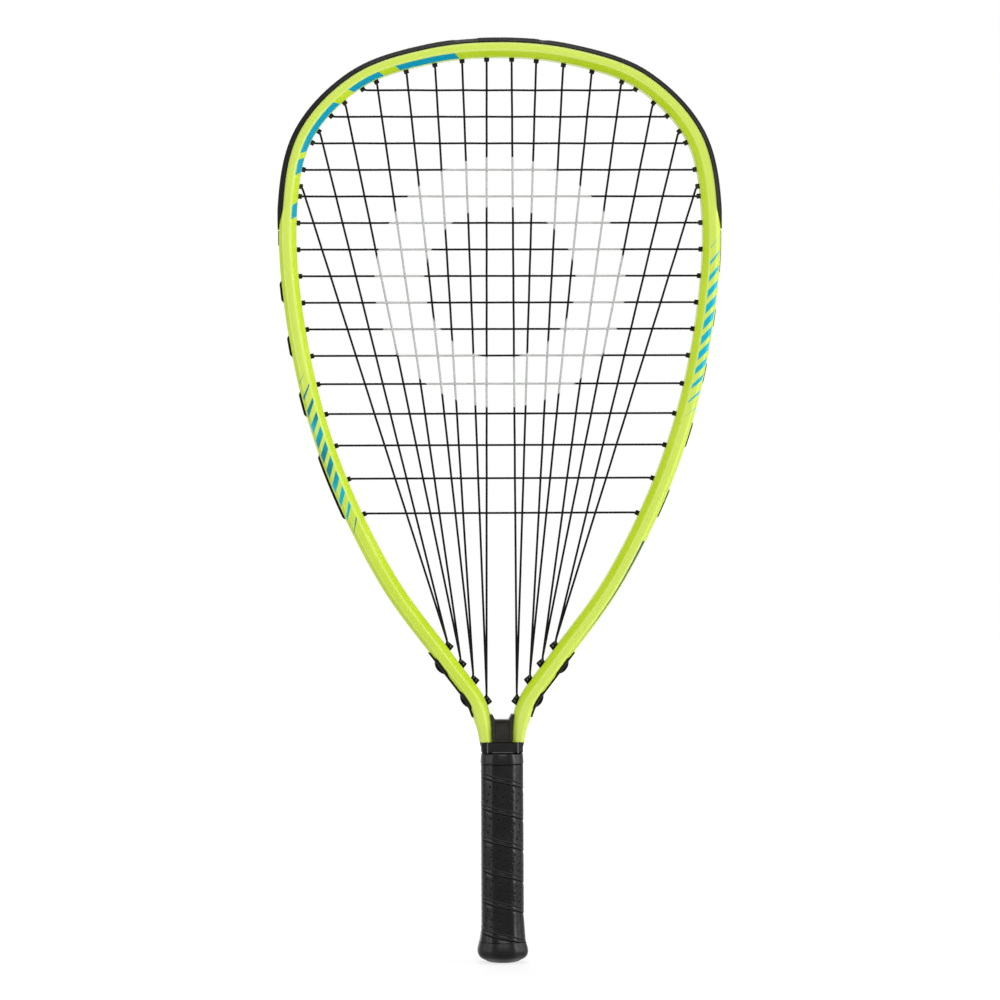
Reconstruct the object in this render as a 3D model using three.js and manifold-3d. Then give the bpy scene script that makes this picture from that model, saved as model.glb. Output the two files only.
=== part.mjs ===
// Racquetball racket, built from its real pieces, in millimetres.
// X runs across the face, Y through it and Z from the butt up to the head.
// Heights are measured from the butt's end. The whole racket is then lowered,
// so that its origin lies in the middle of the grip, on the handle's axis.

import * as THREE from "three";
import { mergeVertices } from "three/addons/utils/BufferGeometryUtils.js";
import Module from "manifold-3d";

const wasm = await Module();
wasm.setup();

// Whole racket
const ORIGIN_HEIGHT = 62;
const GAP = 0.3;
// A cutting block runs this far past the faces that it cuts
const CUT_SPARE = 1;
// Two places nearer than this are one
const SAME_PLACE = 0.01;

// Centreline of the right half of the frame tube, from the head's top to the shaft's
// end: distance from the racket's axis, height
const HALF_CENTRELINE = [
  [0, 552.1],
  [43, 548],
  [86, 533],
  [118.3, 499],
  [128, 450],
  [122, 376],
  [103, 303.5],
  [68.6, 231],
  [33.5, 182.5],
  [15.2, 157],
  [10.9, 143],
  [9.6, 133],
  [7.5, 126.3],
  [6.1, 120],
  [5.7, 112],
  [5.7, 104],
  [5.7, 32],
];

// Frame tube section, one half: outward from the centreline, front to back
const TUBE_OUTSIDE = [
  [-5.3, 5.5],
  [-2, 10],
  [2.5, 10],
  [5.3, 6],
  [5.3, 4],
  [2.1, 3.2],
];
const TUBE_INSIDE = [
  [-4.55, 5.2],
  [-1.7, 9.25],
  [2.1, 9.25],
  [4.45, 5.2],
  [1.35, 3.8],
];
const TUBE_WITH_ROOM = [
  [-5.75, 5.9],
  [-2.3, 10.45],
  [2.8, 10.45],
  [5.75, 6.4],
];
const TUBE_INNER_FACE = -5.3;
const GROOVE_FLOOR = 2.1;
// The tube narrows and flattens from the arms into the shafts
const SHAFT_WIDTH_SHARE = 0.7;
const SHAFT_DEPTH_SHARE = 0.78;
const NARROWING = [152, 133];
const FLATTENING = [150, 127];
// Facets along the tube: how far a chord may lie off the curve, and how far ahead it looks
const FACET_ERROR = 0.32;
const SHORTEST_FACET = 6;
const LONGEST_FACET = 36;
const LOOK_AHEAD = [0, 4, 8, 12, 16, 20, 24, 28];
const LOOK_LENGTH = 2;
// What lies on the tube keeps its own stations this far from its ends
const SHARED_STATION_MARGIN = 1;
const OWN_STATION_MARGIN = 0.5;

// String bed
const STRING_HALF = 0.554;
const WEAVE = 0.75;
// Angles of the head's main grommets from upright, seen from the middle of the head
const MAIN_ANGLES = [3.8, 11.2, 19.3, 27.7, 36.3, 46.5, 56.7, 72.1];
const HEAD_MIDDLE_HEIGHT = 430.5;
// Heights of the throat grommets, read this far inside the tube's inner face
const THROAT_GROMMET_HEIGHTS = [190.9, 180.3, 170.4, 157.8];
const THROAT_READING_REACH = 1.5;
const THROAT_LANE = 0.83;
const THROAT_EXIT_ROOM = 0.05;
const CROSS_COUNT = 16;
const TOP_CROSS_HEIGHT = 527.2;
const CROSS_PITCH = 16.05;
const EVEN_CROSSES = 10;
const PITCH_GROWTH = 1;
// A link between two holes runs beside the holes that it passes
const MAIN_LINK_LANE = -1.45;
const CROSS_LINK_LANE = 1.45;
const LINK_HEIGHT = 4.3;
const LINK_STEP = 15;
const LINK_RUN_IN = 4;
const TAIL = 4;
// On each side the main string goes down the first of a pair and up the second.
// Strings are ranked from the outside.
const MAIN_LACING = [
  [2, 0],
  [1, 3],
  [4, 6],
  [5, 7],
];
const LEAST_MITRE = 0.5;
const NEIGHBOUR_LENGTH = 9;

// Grommets, as moulded on the bumper guard and on the side strips
const BARREL = 2.5;
const BORE = 1.8;
const BARREL_END = -7.9;
const BARREL_ROOT = 2.8;
const BEND_ROOM = 0.7;
const FRAME_HOLE = 3.1;
const FRAME_HOLE_REACH = [-7, 3];

// Grommets of the throat, each with two strings. The head is highest at its lower
// end, and a slot in its upper half lets the strings out.
const THROAT_BARREL = [2.6, 4.3];
const THROAT_BORE = [1.8, 3.5];
const THROAT_HEAD_LENGTH = 4.6;
const THROAT_HEAD_DEPTH = 5.2;
const THROAT_HEAD_HEIGHTS = [1.9, 3.4];
const THROAT_SLOT_FLOOR = 1.2;
const THROAT_SHANK_OVERLAP = 0.2;

// Bumper guard section, one half
const BUMPER_INSIDE = [
  [3.7, 8.8],
  [5.6, 6.1],
  [5.6, 3.7],
  [2.4, 2.9],
];
const BUMPER_OUTSIDE = [
  [3.3, 2.35],
  [6.7, 3.1],
  [6.7, 6.27],
  [4.5, 9.4],
];
const BUMPER_END_HEIGHT = 443;
const BUMPER_TAPER = [-2, 14];
const BUMPER_END_DROP = 0.7;

// Side strip: a channel in the groove, with higher walls beside each link
const STRIP_FLOOR = 2.4;
const STRIP_TOP = 3.2;
const STRIP_HALF_DEPTH = 2.9;
const STRIP_WALL = 0.6;
const STRIP_WALL_LEAN = 0.3;
const STRIP_LOW_WALL = 3.9;
const STRIP_HIGH_WALL = 6.2;
const STRIP_START_GAP = 1;
const STRIP_END_MARGIN = 6;
const STRIP_LINK_MARGIN = 2.4;
const STRIP_WALL_RAMP = 1.2;
const LEFT_LINKS = [7, 9, 11, 13];
const RIGHT_LINKS = [6, 8, 10, 12, 14];

// String guide: a strap in the groove with two half-round lobes
const GUIDE_HALF_DEPTH = 2.7;
const LOBE_CORE = 4.15;
const LOBE_CHEEK = 6.3;
const LOBE_STRING_RADIUS = 5.15;
const LOBE_SLOT = 1.75;
const LOBE_HALF_DEPTH = 4.6;
const LOBE_FOOT = 0.75;
const LOBE_LIP_CLEARANCE = 3.9;
const LOBE_FACETS = 6;
const LOBE_STRING_ANGLES = [150, 120, 90, 60, 30];
const STRAP_MARGIN = 4;

// Handle: an octagon at the outside of the grip tape
const HANDLE_HALF_WIDTH = 12.75;
const HANDLE_HALF_DEPTH = 15;
const FRONT_FACET_HALF = 4.75;
const SIDE_FACET_HALF = 6.78;
const CORNER_SHIFT = 0.41;
const PALLET_INSET = -2;
const PALLET_NECK_INSET = -4.2;
const PALLET_BOTTOM = 14;
const PALLET_NECK_TOP = 30.3;
const PALLET_TOP = 119.3;
const TUBE_ROOM_TOP = 165;
const CHANNEL_DEPTH = 0.5;

// Butt cap: how far the surface stands out from the handle's octagon, by height.
// The tape starts above the ledge.
const CAP_LEDGE = 12.1;
const BUTT_FLARE = [
  [0, -7],
  [0.6, -4.4],
  [1.6, -1.6],
  [2.6, 0.5],
  [4.2, 1.8],
  [6.5, 2.4],
  [9.5, 2],
  [CAP_LEDGE, 1.3],
  [16, 0.6],
  [22, 0],
];
const CAP_SLEEVE_TOP = 30;
const CAP_CAVITY_FLOOR = 6;
const CAP_CAVITY_INSET = -3.9;
const LANYARD_HOLE_RADIUS = 3.2;
const LANYARD_HOLE_OFFSET = 6.4;

// Staples that hold the butt cap
const STAPLE_HEIGHT = 26;
const STAPLE_WIRE = 0.7;
const STAPLE_CROWN = 8.6;
const STAPLE_LEG = 5;
const STAPLE_OUTSIDE = 10.7;

// Grip tape: an octagonal helix that falls from left to right on the front
const TAPE_THICKNESS = 1.7;
const TAPE_PITCH = 18.8;
const TAPE_SEAM = 0.6;
const TAPE_BOTTOM = 12.4;
const TAPE_TOP = 119.3;
const TAPE_TIP = 1;

// Grip collar
const COLLAR_BOTTOM = 119.6;
const COLLAR_TOP = 126.3;
const COLLAR_BORE = [
  [5.9, 11.7],
  [11.7, 5.75],
];
const COLLAR_BOTTOM_STAND = 0.15;
const COLLAR_TOP_INSET = [-0.4, -0.8];
const COLLAR_STEPS = 2;

// Throat bridge: a web between the shafts, a core that fills the collar's bore,
// and an apron above the collar that laps over the shafts in front and behind
const BRIDGE_BOTTOM = 119.9;
const BRIDGE_TOP = 146.7;
const BRIDGE_HORN_TOP = 149.9;
const BRIDGE_HALF_DEPTH = 7;
const APRON_TOP = 133;
const BRIDGE_HALF_OUTLINE = [
  [5.5, BRIDGE_BOTTOM],
  [6.4, APRON_TOP],
  [7.4, BRIDGE_TOP],
  [8, BRIDGE_HORN_TOP],
  [5.8, BRIDGE_HORN_TOP],
  [4.1, BRIDGE_TOP],
];
const CORE_PLAN = [
  [5.8, 11.3],
  [8.8, 8.3],
];
const APRON_BOTTOM_PLAN = [
  [9, 11.6],
  [12.4, 8.2],
];
const APRON_TOP_PLAN = [
  [9.4, 9.8],
  [12.4, 7],
];
const RECESS_SIZE = [8, 12, 0.8];
const RECESS_HEIGHT = 140;

const paint = new THREE.MeshStandardMaterial({ color: 0xd3ea5c, roughness: 0.3, metalness: 0.1 });
const nylon = new THREE.MeshStandardMaterial({ color: 0x2b2b29, roughness: 0.55, metalness: 0 });
const guideNylon = new THREE.MeshStandardMaterial({ color: 0x1c1c1c, roughness: 0.5, metalness: 0 });
const stringGut = new THREE.MeshStandardMaterial({ color: 0x171717, roughness: 0.4, metalness: 0 });
const bridgePlastic = new THREE.MeshStandardMaterial({ color: 0x383834, roughness: 0.5, metalness: 0 });
const tapeLeather = new THREE.MeshStandardMaterial({ color: 0x242424, roughness: 0.7, metalness: 0 });
const rubber = new THREE.MeshStandardMaterial({ color: 0x1f1f1f, roughness: 0.65, metalness: 0 });
const foam = new THREE.MeshStandardMaterial({ color: 0xb8a988, roughness: 0.9, metalness: 0 });
const steel = new THREE.MeshStandardMaterial({ color: 0xa8a8a8, roughness: 0.35, metalness: 1 });

const DEPTH_AXIS = new THREE.Vector3(0, 1, 0);
const CORNERS = 8;

// Solids and geometries

function solidOf(geometry) {
  const bare = geometry.clone();
  bare.deleteAttribute("normal");
  bare.deleteAttribute("uv");
  const merged = mergeVertices(bare, 1e-4);
  const vertProperties = new Float32Array(merged.attributes.position.array);
  const triVerts = new Uint32Array(merged.index.array);
  return new wasm.Manifold(new wasm.Mesh({ numProp: 3, vertProperties, triVerts }));
}

function geometryOf(solid) {
  const mesh = solid.getMesh();
  const geometry = new THREE.BufferGeometry();
  geometry.setAttribute("position", new THREE.BufferAttribute(mesh.vertProperties, 3));
  geometry.setIndex(new THREE.BufferAttribute(mesh.triVerts, 1));
  geometry.computeVertexNormals();
  return geometry;
}

// Six times the signed volume: below zero when the faces point inwards
function signedVolume(geometry) {
  const a = new THREE.Vector3();
  const b = new THREE.Vector3();
  const c = new THREE.Vector3();
  const position = geometry.attributes.position;
  let total = 0;
  for (let i = 0; i < position.count; i += 3) {
    a.fromBufferAttribute(position, i);
    b.fromBufferAttribute(position, i + 1);
    c.fromBufferAttribute(position, i + 2);
    total += a.dot(b.cross(c));
  }
  return total;
}

function anticlockwise(section) {
  const points = section.map(([u, v]) => new THREE.Vector2(u, v));
  return THREE.ShapeUtils.area(points) < 0 ? points.reverse() : points;
}

// Extrudes a flat section in equal steps, then moves each ring to its place:
// place(u, v, ring) gives the point for the section's point (u, v) on that ring.
function sweep(section, hole, rings, place) {
  const shape = new THREE.Shape(anticlockwise(section));
  if (hole) {
    shape.holes.push(new THREE.Path(anticlockwise(hole)));
  }
  const steps = rings - 1;
  const geometry = new THREE.ExtrudeGeometry(shape, { depth: steps, steps, bevelEnabled: false });
  const position = geometry.attributes.position;
  for (let i = 0; i < position.count; i += 1) {
    const ring = Math.round(position.getZ(i));
    const point = place(position.getX(i), position.getY(i), ring);
    position.setXYZ(i, point.x, point.y, point.z);
  }
  if (signedVolume(geometry) < 0) {
    const flipped = [];
    for (let i = 0; i < position.count; i += 3) {
      flipped.push(i, i + 2, i + 1);
    }
    geometry.setIndex(flipped);
    return geometry.toNonIndexed();
  }
  return geometry;
}

// A half section closed by its mirror image, front to back
function mirrored(half) {
  const other = half.map(([u, w]) => [u, -w]).reverse();
  return [...half, ...other];
}

function joined(solids) {
  return solids.reduce((total, next) => total.add(next));
}

function cut(solid, cutters) {
  return cutters.reduce((rest, cutter) => rest.subtract(cutter), solid);
}

// Finds where a rising function crosses zero
function crossing(f, low, high) {
  for (let i = 0; i < 40; i += 1) {
    const middle = (low + high) / 2;
    if (f(middle) < 0) {
      low = middle;
    } else {
      high = middle;
    }
  }
  return (low + high) / 2;
}

function range(count) {
  return Array.from({ length: count }, (_, i) => i);
}

// Even shares from 0 to 1
function shares(steps) {
  return range(steps + 1).map((i) => i / steps);
}

function smooth(value, from, to) {
  const share = THREE.MathUtils.clamp((value - from) / (to - from), 0, 1);
  return share * share * (3 - 2 * share);
}

// Places along the frame tube. s is the length along it from the head's top,
// below zero on the left and above zero on the right.

const centreline = new THREE.CatmullRomCurve3(
  [
    ...HALF_CENTRELINE.slice(1).reverse().map(([x, z]) => new THREE.Vector3(-x, 0, z)),
    ...HALF_CENTRELINE.map(([x, z]) => new THREE.Vector3(x, 0, z)),
  ],
  false,
  "centripetal",
);
centreline.arcLengthDivisions = 4000;
const TUBE_LENGTH = centreline.getLength();
const TUBE_END = TUBE_LENGTH / 2;

function along(s) {
  const share = THREE.MathUtils.clamp(0.5 + s / TUBE_LENGTH, 0, 1);
  const centre = centreline.getPointAt(share);
  const forward = centreline.getTangentAt(share);
  const outward = new THREE.Vector3(-forward.z, 0, forward.x);
  return { centre, forward, outward };
}

function widthShare(height) {
  return 1 - (1 - SHAFT_WIDTH_SHARE) * smooth(height, NARROWING[0], NARROWING[1]);
}

function depthShare(height) {
  return 1 - (1 - SHAFT_DEPTH_SHARE) * smooth(height, FLATTENING[0], FLATTENING[1]);
}

// The point at u, w of the tube's section, which narrows with the tube; lift is added unscaled
function onTube(s, u, w, lift = 0) {
  const { centre, outward } = along(s);
  const reach = u * widthShare(centre.z) + lift;
  return centre
    .clone()
    .addScaledVector(outward, reach)
    .addScaledVector(DEPTH_AXIS, w * depthShare(centre.z));
}

function sAtHeight(height, u) {
  return crossing((s) => height - onTube(s, u, 0).z, 0, TUBE_END);
}

function sAtAngle(degrees, u) {
  const angle = THREE.MathUtils.degToRad(degrees);
  const angleAt = (point) => Math.atan2(point.x, point.z - HEAD_MIDDLE_HEIGHT);
  return crossing((s) => angleAt(onTube(s, u, 0)) - angle, 0, TUBE_END / 2);
}

// Facets are short where the tube bends and long where it runs nearly straight
function facetAt(s) {
  const facets = LOOK_AHEAD.map((ahead) => {
    const here = along(s + ahead).forward;
    const next = along(s + ahead + LOOK_LENGTH).forward;
    const radius = LOOK_LENGTH / Math.max(here.angleTo(next), 1e-5);
    return ahead + Math.sqrt(8 * radius * FACET_ERROR);
  });
  return THREE.MathUtils.clamp(Math.min(...facets), SHORTEST_FACET, LONGEST_FACET);
}

function stationsBetween(from, to) {
  const stations = [from];
  while (to - stations.at(-1) > SHORTEST_FACET) {
    const next = stations.at(-1) + facetAt(stations.at(-1));
    stations.push(Math.min(next, to));
  }
  stations[stations.length - 1] = to;
  return stations;
}

const tubeStations = stationsBetween(0, TUBE_END);

// What lies on the tube bends where the tube bends, and at its own stations too
function stationsOnTube(from, to, own = []) {
  const inside = (margin) => (s) => s > from + margin && s < to - margin;
  const shared = tubeStations.filter(inside(SHARED_STATION_MARGIN));
  const apart = own.filter(inside(OWN_STATION_MARGIN));
  return [from, ...shared, ...apart, to].sort((a, b) => a - b);
}

function bothSides(stations) {
  const left = stations.filter((s) => s > 0).map((s) => -s).reverse();
  return [...left, ...stations];
}

function sweepOnTube(section, hole, stations, shapeAt = (u, w) => [u, w]) {
  return sweep(section, hole, stations.length, (u, w, ring) => {
    const [reach, depth] = shapeAt(u, w, stations[ring]);
    return onTube(stations[ring], reach, depth);
  });
}

// A block square to the tube at s: size along the tube, size in depth, and its reach outward
function blockOnTube(s, size, depth, from, to) {
  const { centre, forward, outward } = along(s);
  const box = new THREE.BoxGeometry(size, depth, to - from);
  const turn = new THREE.Matrix4().makeBasis(forward, DEPTH_AXIS, outward);
  turn.setPosition(centre.clone().addScaledVector(outward, (from + to) / 2));
  return solidOf(box.applyMatrix4(turn));
}

// String holes

function crossHeight(row) {
  const grown = Math.max(0, row - EVEN_CROSSES);
  return TOP_CROSS_HEIGHT - CROSS_PITCH * row - PITCH_GROWTH * grown * (grown + 1) / 2;
}

const STRING_BEND = BARREL_END - BEND_ROOM;
const crossHeights = range(CROSS_COUNT).map(crossHeight);
const crossHoles = crossHeights.map((height) => sAtHeight(height, STRING_BEND));
const mainHoles = MAIN_ANGLES.map((angle) => sAtAngle(angle, BARREL_END));
const throatReading = TUBE_INNER_FACE - THROAT_READING_REACH;
const throatHoles = THROAT_GROMMET_HEIGHTS.map((height) => sAtHeight(height, throatReading));
const BUMPER_END = sAtHeight(BUMPER_END_HEIGHT, 0);
const CROSSES_ON_BUMPER = crossHoles.filter((s) => s < BUMPER_END).length;

function scaledReach(s, u) {
  return u * widthShare(along(s).centre.z);
}

// Frame tube

function frameTube() {
  const stations = bothSides(tubeStations);
  const tube = solidOf(sweepOnTube(mirrored(TUBE_OUTSIDE), mirrored(TUBE_INSIDE), stations));
  const [throatLength, throatDepth] = THROAT_BARREL.map((size) => size + 2 * GAP);
  const holes = [];
  for (const side of [-1, 1]) {
    for (const s of [...crossHoles, ...mainHoles]) {
      holes.push(blockOnTube(side * s, FRAME_HOLE, FRAME_HOLE, ...FRAME_HOLE_REACH));
    }
    for (const s of throatHoles) {
      holes.push(blockOnTube(side * s, throatLength, throatDepth, ...FRAME_HOLE_REACH));
    }
  }
  return cut(tube, holes);
}

// Bumper guard, with its barrels. Towards its ends the lips draw back to the tube's edge.

function bumperTaper(s) {
  return smooth(BUMPER_END - Math.abs(s), ...BUMPER_TAPER);
}

function bumperSection(u, w, s) {
  const full = bumperTaper(s);
  const [cornerU, cornerW] = BUMPER_INSIDE[1];
  const top = BUMPER_OUTSIDE[1][0];
  if (u > (cornerU + top) / 2) {
    return [u - BUMPER_END_DROP * (1 - full), w];
  }
  const pastCorner = Math.abs(w) - cornerW;
  if (pastCorner > 0) {
    return [cornerU + (u - cornerU) * full, Math.sign(w) * (cornerW + pastCorner * full)];
  }
  return [u, w];
}

function barrel(s) {
  return blockOnTube(s, BARREL, BARREL, BARREL_END, BARREL_ROOT);
}

function bore(s) {
  return blockOnTube(s, BORE, BORE, BARREL_END - CUT_SPARE, LINK_HEIGHT);
}

function withBarrels(base, holes) {
  const body = joined([base, ...holes.map(barrel)]);
  return cut(body, holes.map(bore));
}

function bumperGuard() {
  const taper = [BUMPER_END - BUMPER_TAPER[1], BUMPER_END - BUMPER_TAPER[1] / 2];
  const half = stationsOnTube(0, BUMPER_END, taper);
  const section = mirrored([...BUMPER_OUTSIDE, ...BUMPER_INSIDE]);
  const base = solidOf(sweepOnTube(section, null, bothSides(half), bumperSection));
  const holes = [...mainHoles, ...crossHoles.slice(0, CROSSES_ON_BUMPER)];
  return withBarrels(base, [...holes, ...holes.map((s) => -s)]);
}

// Side strips

function sideStrip(side, links) {
  const start = BUMPER_END + STRIP_START_GAP;
  const end = crossHoles.at(-1) + STRIP_END_MARGIN;
  const high = links.map((row) => [
    crossHoles[row] + STRIP_LINK_MARGIN,
    crossHoles[row + 1] - STRIP_LINK_MARGIN,
  ]);
  const edges = high.flatMap(([from, to]) => [from - STRIP_WALL_RAMP, from, to, to + STRIP_WALL_RAMP]);
  const stations = stationsOnTube(start, end, edges).map((s) => side * s);
  const isHigh = (s) => high.some(([from, to]) => s > from - SAME_PLACE && s < to + SAME_PLACE);
  const wallTop = STRIP_HALF_DEPTH + STRIP_WALL_LEAN;
  const wall = [
    [STRIP_FLOOR, STRIP_HALF_DEPTH],
    [STRIP_LOW_WALL, wallTop],
    [STRIP_LOW_WALL, wallTop - STRIP_WALL],
    [STRIP_TOP, STRIP_HALF_DEPTH - STRIP_WALL],
  ];
  const raised = (u, w, s) => {
    const onTop = Math.abs(u - STRIP_LOW_WALL) < SAME_PLACE;
    return [onTop && isHigh(Math.abs(s)) ? STRIP_HIGH_WALL : u, w];
  };
  const base = solidOf(sweepOnTube(mirrored(wall), null, stations, raised));
  const holes = crossHoles.slice(CROSSES_ON_BUMPER).map((s) => side * s);
  return withBarrels(base, holes);
}

// String guides at the throat

function lobeOutline(radius, floor) {
  const start = Math.asin(floor / radius);
  const outline = range(LOBE_FACETS + 1).map((i) => {
    const angle = start + (Math.PI - 2 * start) * i / LOBE_FACETS;
    return new THREE.Vector2(radius * Math.cos(angle), radius * Math.sin(angle));
  });
  return new THREE.Shape(outline);
}

function lobeFrame(a, b) {
  const s = (a + b) / 2;
  const { forward, outward } = along(s);
  const origin = onTube(s, STRIP_FLOOR, 0);
  return { origin, forward, outward };
}

function lobe(a, b) {
  const { origin, forward, outward } = lobeFrame(a, b);
  const slab = (radius, floor, from, to) => {
    const outline = lobeOutline(radius, floor);
    const geometry = new THREE.ExtrudeGeometry(outline, { depth: to - from, bevelEnabled: false });
    const turn = new THREE.Matrix4().makeBasis(forward, outward, DEPTH_AXIS.clone().negate());
    turn.setPosition(origin.clone().addScaledVector(DEPTH_AXIS, to));
    return solidOf(geometry.applyMatrix4(turn));
  };
  return joined([
    slab(LOBE_CORE, LOBE_FOOT, -GUIDE_HALF_DEPTH, GUIDE_HALF_DEPTH),
    slab(LOBE_CHEEK, LOBE_FOOT, -GUIDE_HALF_DEPTH, -LOBE_SLOT),
    slab(LOBE_CHEEK, LOBE_FOOT, LOBE_SLOT, GUIDE_HALF_DEPTH),
    slab(LOBE_CHEEK, LOBE_LIP_CLEARANCE, -LOBE_HALF_DEPTH, -LOBE_SLOT),
    slab(LOBE_CHEEK, LOBE_LIP_CLEARANCE, LOBE_SLOT, LOBE_HALF_DEPTH),
  ]);
}

function stringGuide(side) {
  const holes = throatHoles.map((s) => side * s);
  const from = throatHoles[0] - STRAP_MARGIN;
  const to = throatHoles[3] + STRAP_MARGIN;
  const stations = tubeStations.filter((_, i) => tubeStations[i + 1] > from && tubeStations[i - 1] < to);
  const section = mirrored([
    [STRIP_TOP, GUIDE_HALF_DEPTH],
    [STRIP_FLOOR, GUIDE_HALF_DEPTH],
  ]);
  const strap = solidOf(sweepOnTube(section, null, stations.map((s) => side * s)));
  const body = joined([strap, lobe(holes[0], holes[1]), lobe(holes[2], holes[3])]);
  return cut(body, holes.map((s) => blockOnTube(s, ...THROAT_BORE, 0, LINK_HEIGHT)));
}

function throatGrommet(s) {
  const { centre, forward, outward } = along(s);
  const face = scaledReach(s, TUBE_INNER_FACE) - GAP;
  const downward = Math.sign(s);
  const slab = (outline, depth) => solidOf(sweep(outline, null, 2, (length, height, ring) => centre
    .clone()
    .addScaledVector(forward, downward * length)
    .addScaledVector(outward, face - height)
    .addScaledVector(DEPTH_AXIS, depth * (ring - 0.5))));
  const half = THROAT_HEAD_LENGTH / 2;
  const [high, highest] = THROAT_HEAD_HEIGHTS;
  const head = slab([[-half, 0], [half, 0], [half, highest], [-half, high]], THROAT_HEAD_DEPTH);
  const [boreLength, boreDepth] = THROAT_BORE;
  const slotEnds = [-half - CUT_SPARE, boreLength / 2];
  const slotHeights = [THROAT_SLOT_FLOOR, highest + CUT_SPARE];
  const slot = slab([
    [slotEnds[0], slotHeights[0]],
    [slotEnds[1], slotHeights[0]],
    [slotEnds[1], slotHeights[1]],
    [slotEnds[0], slotHeights[1]],
  ], boreDepth);
  const root = scaledReach(s, GROOVE_FLOOR);
  const shank = blockOnTube(s, ...THROAT_BARREL, face - THROAT_SHANK_OVERLAP, root);
  const hole = blockOnTube(s, ...THROAT_BORE, face - THROAT_SLOT_FLOOR - CUT_SPARE, root + CUT_SPARE);
  return cut(head.add(shank), [slot, hole]);
}

// Strings: each is a route of points, swept as one square-sectioned tube

// Corners are mitred in the plane of the string bed
function stringTube(route) {
  const frames = route.map((point, i) => {
    const before = route[Math.max(i - 1, 0)];
    const after = route[Math.min(i + 1, route.length - 1)];
    const into = new THREE.Vector2(point.x - before.x, point.z - before.z);
    const out = new THREE.Vector2(after.x - point.x, after.z - point.z);
    const first = (i === 0 ? out : into).normalize();
    const last = (i === route.length - 1 ? first : out).clone().normalize();
    const mitre = new THREE.Vector2(-first.y - last.y, first.x + last.x).normalize();
    const stretch = 1 / Math.max(mitre.dot(new THREE.Vector2(-first.y, first.x)), LEAST_MITRE);
    return mitre.multiplyScalar(stretch);
  });
  const section = [
    [-1, -1],
    [1, -1],
    [1, 1],
    [-1, 1],
  ];
  return sweep(section, null, route.length, (u, v, ring) => {
    const point = route[ring];
    const side = frames[ring];
    const reach = u * STRING_HALF;
    return new THREE.Vector3(point.x + side.x * reach, point.y + v * STRING_HALF, point.z + side.y * reach);
  });
}

// The least distance between two stretches of a route that aren't neighbours, less its width
function leastGap(route) {
  const points = [];
  let length = 0;
  for (let i = 1; i < route.length; i += 1) {
    const steps = Math.max(1, Math.ceil(route[i].distanceTo(route[i - 1])));
    for (let k = 0; k < steps; k += 1) {
      const point = route[i - 1].clone().lerp(route[i], k / steps);
      points.push([point.x, point.y, point.z, length]);
      length += route[i].distanceTo(route[i - 1]) / steps;
    }
  }
  let least = Infinity;
  for (let i = 0; i < points.length; i += 1) {
    const [x, y, z, at] = points[i];
    for (let k = i + 1; k < points.length; k += 1) {
      const other = points[k];
      if (other[3] - at > NEIGHBOUR_LENGTH) {
        const square = (x - other[0]) ** 2 + (y - other[1]) ** 2 + (z - other[2]) ** 2;
        least = Math.min(least, square);
      }
    }
  }
  return Math.sqrt(least) - 2 * STRING_HALF;
}

const MAIN_COUNT = 2 * MAIN_ANGLES.length;

// Main strings are numbered from left to right; rank counts from the outside
function mainPlaces(index) {
  const side = index < MAIN_COUNT / 2 ? -1 : 1;
  const rank = side < 0 ? index : MAIN_COUNT - 1 - index;
  const headS = side * mainHoles[MAIN_ANGLES.length - 1 - rank];
  const throatS = side * throatHoles[Math.floor(rank / 2)];
  const lane = THROAT_LANE * weaveSign(index, CROSS_COUNT - 1);
  return { headS, throatS, lane };
}

function throatBend(s, lane) {
  const mouth = scaledReach(s, TUBE_INNER_FACE) - GAP - THROAT_SLOT_FLOOR;
  return onTube(s, 0, 0, mouth - BEND_ROOM).addScaledVector(DEPTH_AXIS, lane);
}

function throatExit(s, lane) {
  const stand = GAP + STRING_HALF + THROAT_EXIT_ROOM;
  return onTube(s, STRIP_TOP, 0, stand).addScaledVector(DEPTH_AXIS, lane);
}

function headExit(s) {
  return onTube(s, LINK_HEIGHT, 0);
}

function weaveSign(main, cross) {
  return (main + cross) % 2 === 0 ? 1 : -1;
}

function mainRun(index) {
  const { headS, throatS, lane } = mainPlaces(index);
  const top = onTube(headS, STRING_BEND, 0);
  const bottom = throatBend(throatS, lane);
  const woven = [];
  crossHeights.forEach((height, row) => {
    if (height < top.z) {
      const share = (top.z - height) / (top.z - bottom.z);
      const point = top.clone().lerp(bottom, share);
      point.y = weaveSign(index, row) * WEAVE;
      woven.push(point);
    }
  });
  return [headExit(headS), top, ...woven, bottom, throatExit(throatS, lane)];
}

// A link along the groove between two holes, without its two ends
function link(from, to, lane) {
  const direction = Math.sign(to - from);
  const start = from + direction * LINK_RUN_IN;
  const length = Math.abs(to - from) - 2 * LINK_RUN_IN;
  const steps = Math.max(1, Math.ceil(length / LINK_STEP));
  return range(steps + 1).map((i) => onTube(start + direction * length * i / steps, LINK_HEIGHT, lane));
}

function wrapLobe(from, to, lane) {
  const { origin, forward, outward } = lobeFrame(from, to);
  const angles = LOBE_STRING_ANGLES.map(THREE.MathUtils.degToRad);
  const ordered = to > from ? angles : angles.reverse();
  return ordered.map((angle) => origin
    .clone()
    .addScaledVector(forward, LOBE_STRING_RADIUS * Math.cos(angle))
    .addScaledVector(outward, LOBE_STRING_RADIUS * Math.sin(angle))
    .addScaledVector(DEPTH_AXIS, lane));
}

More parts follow.
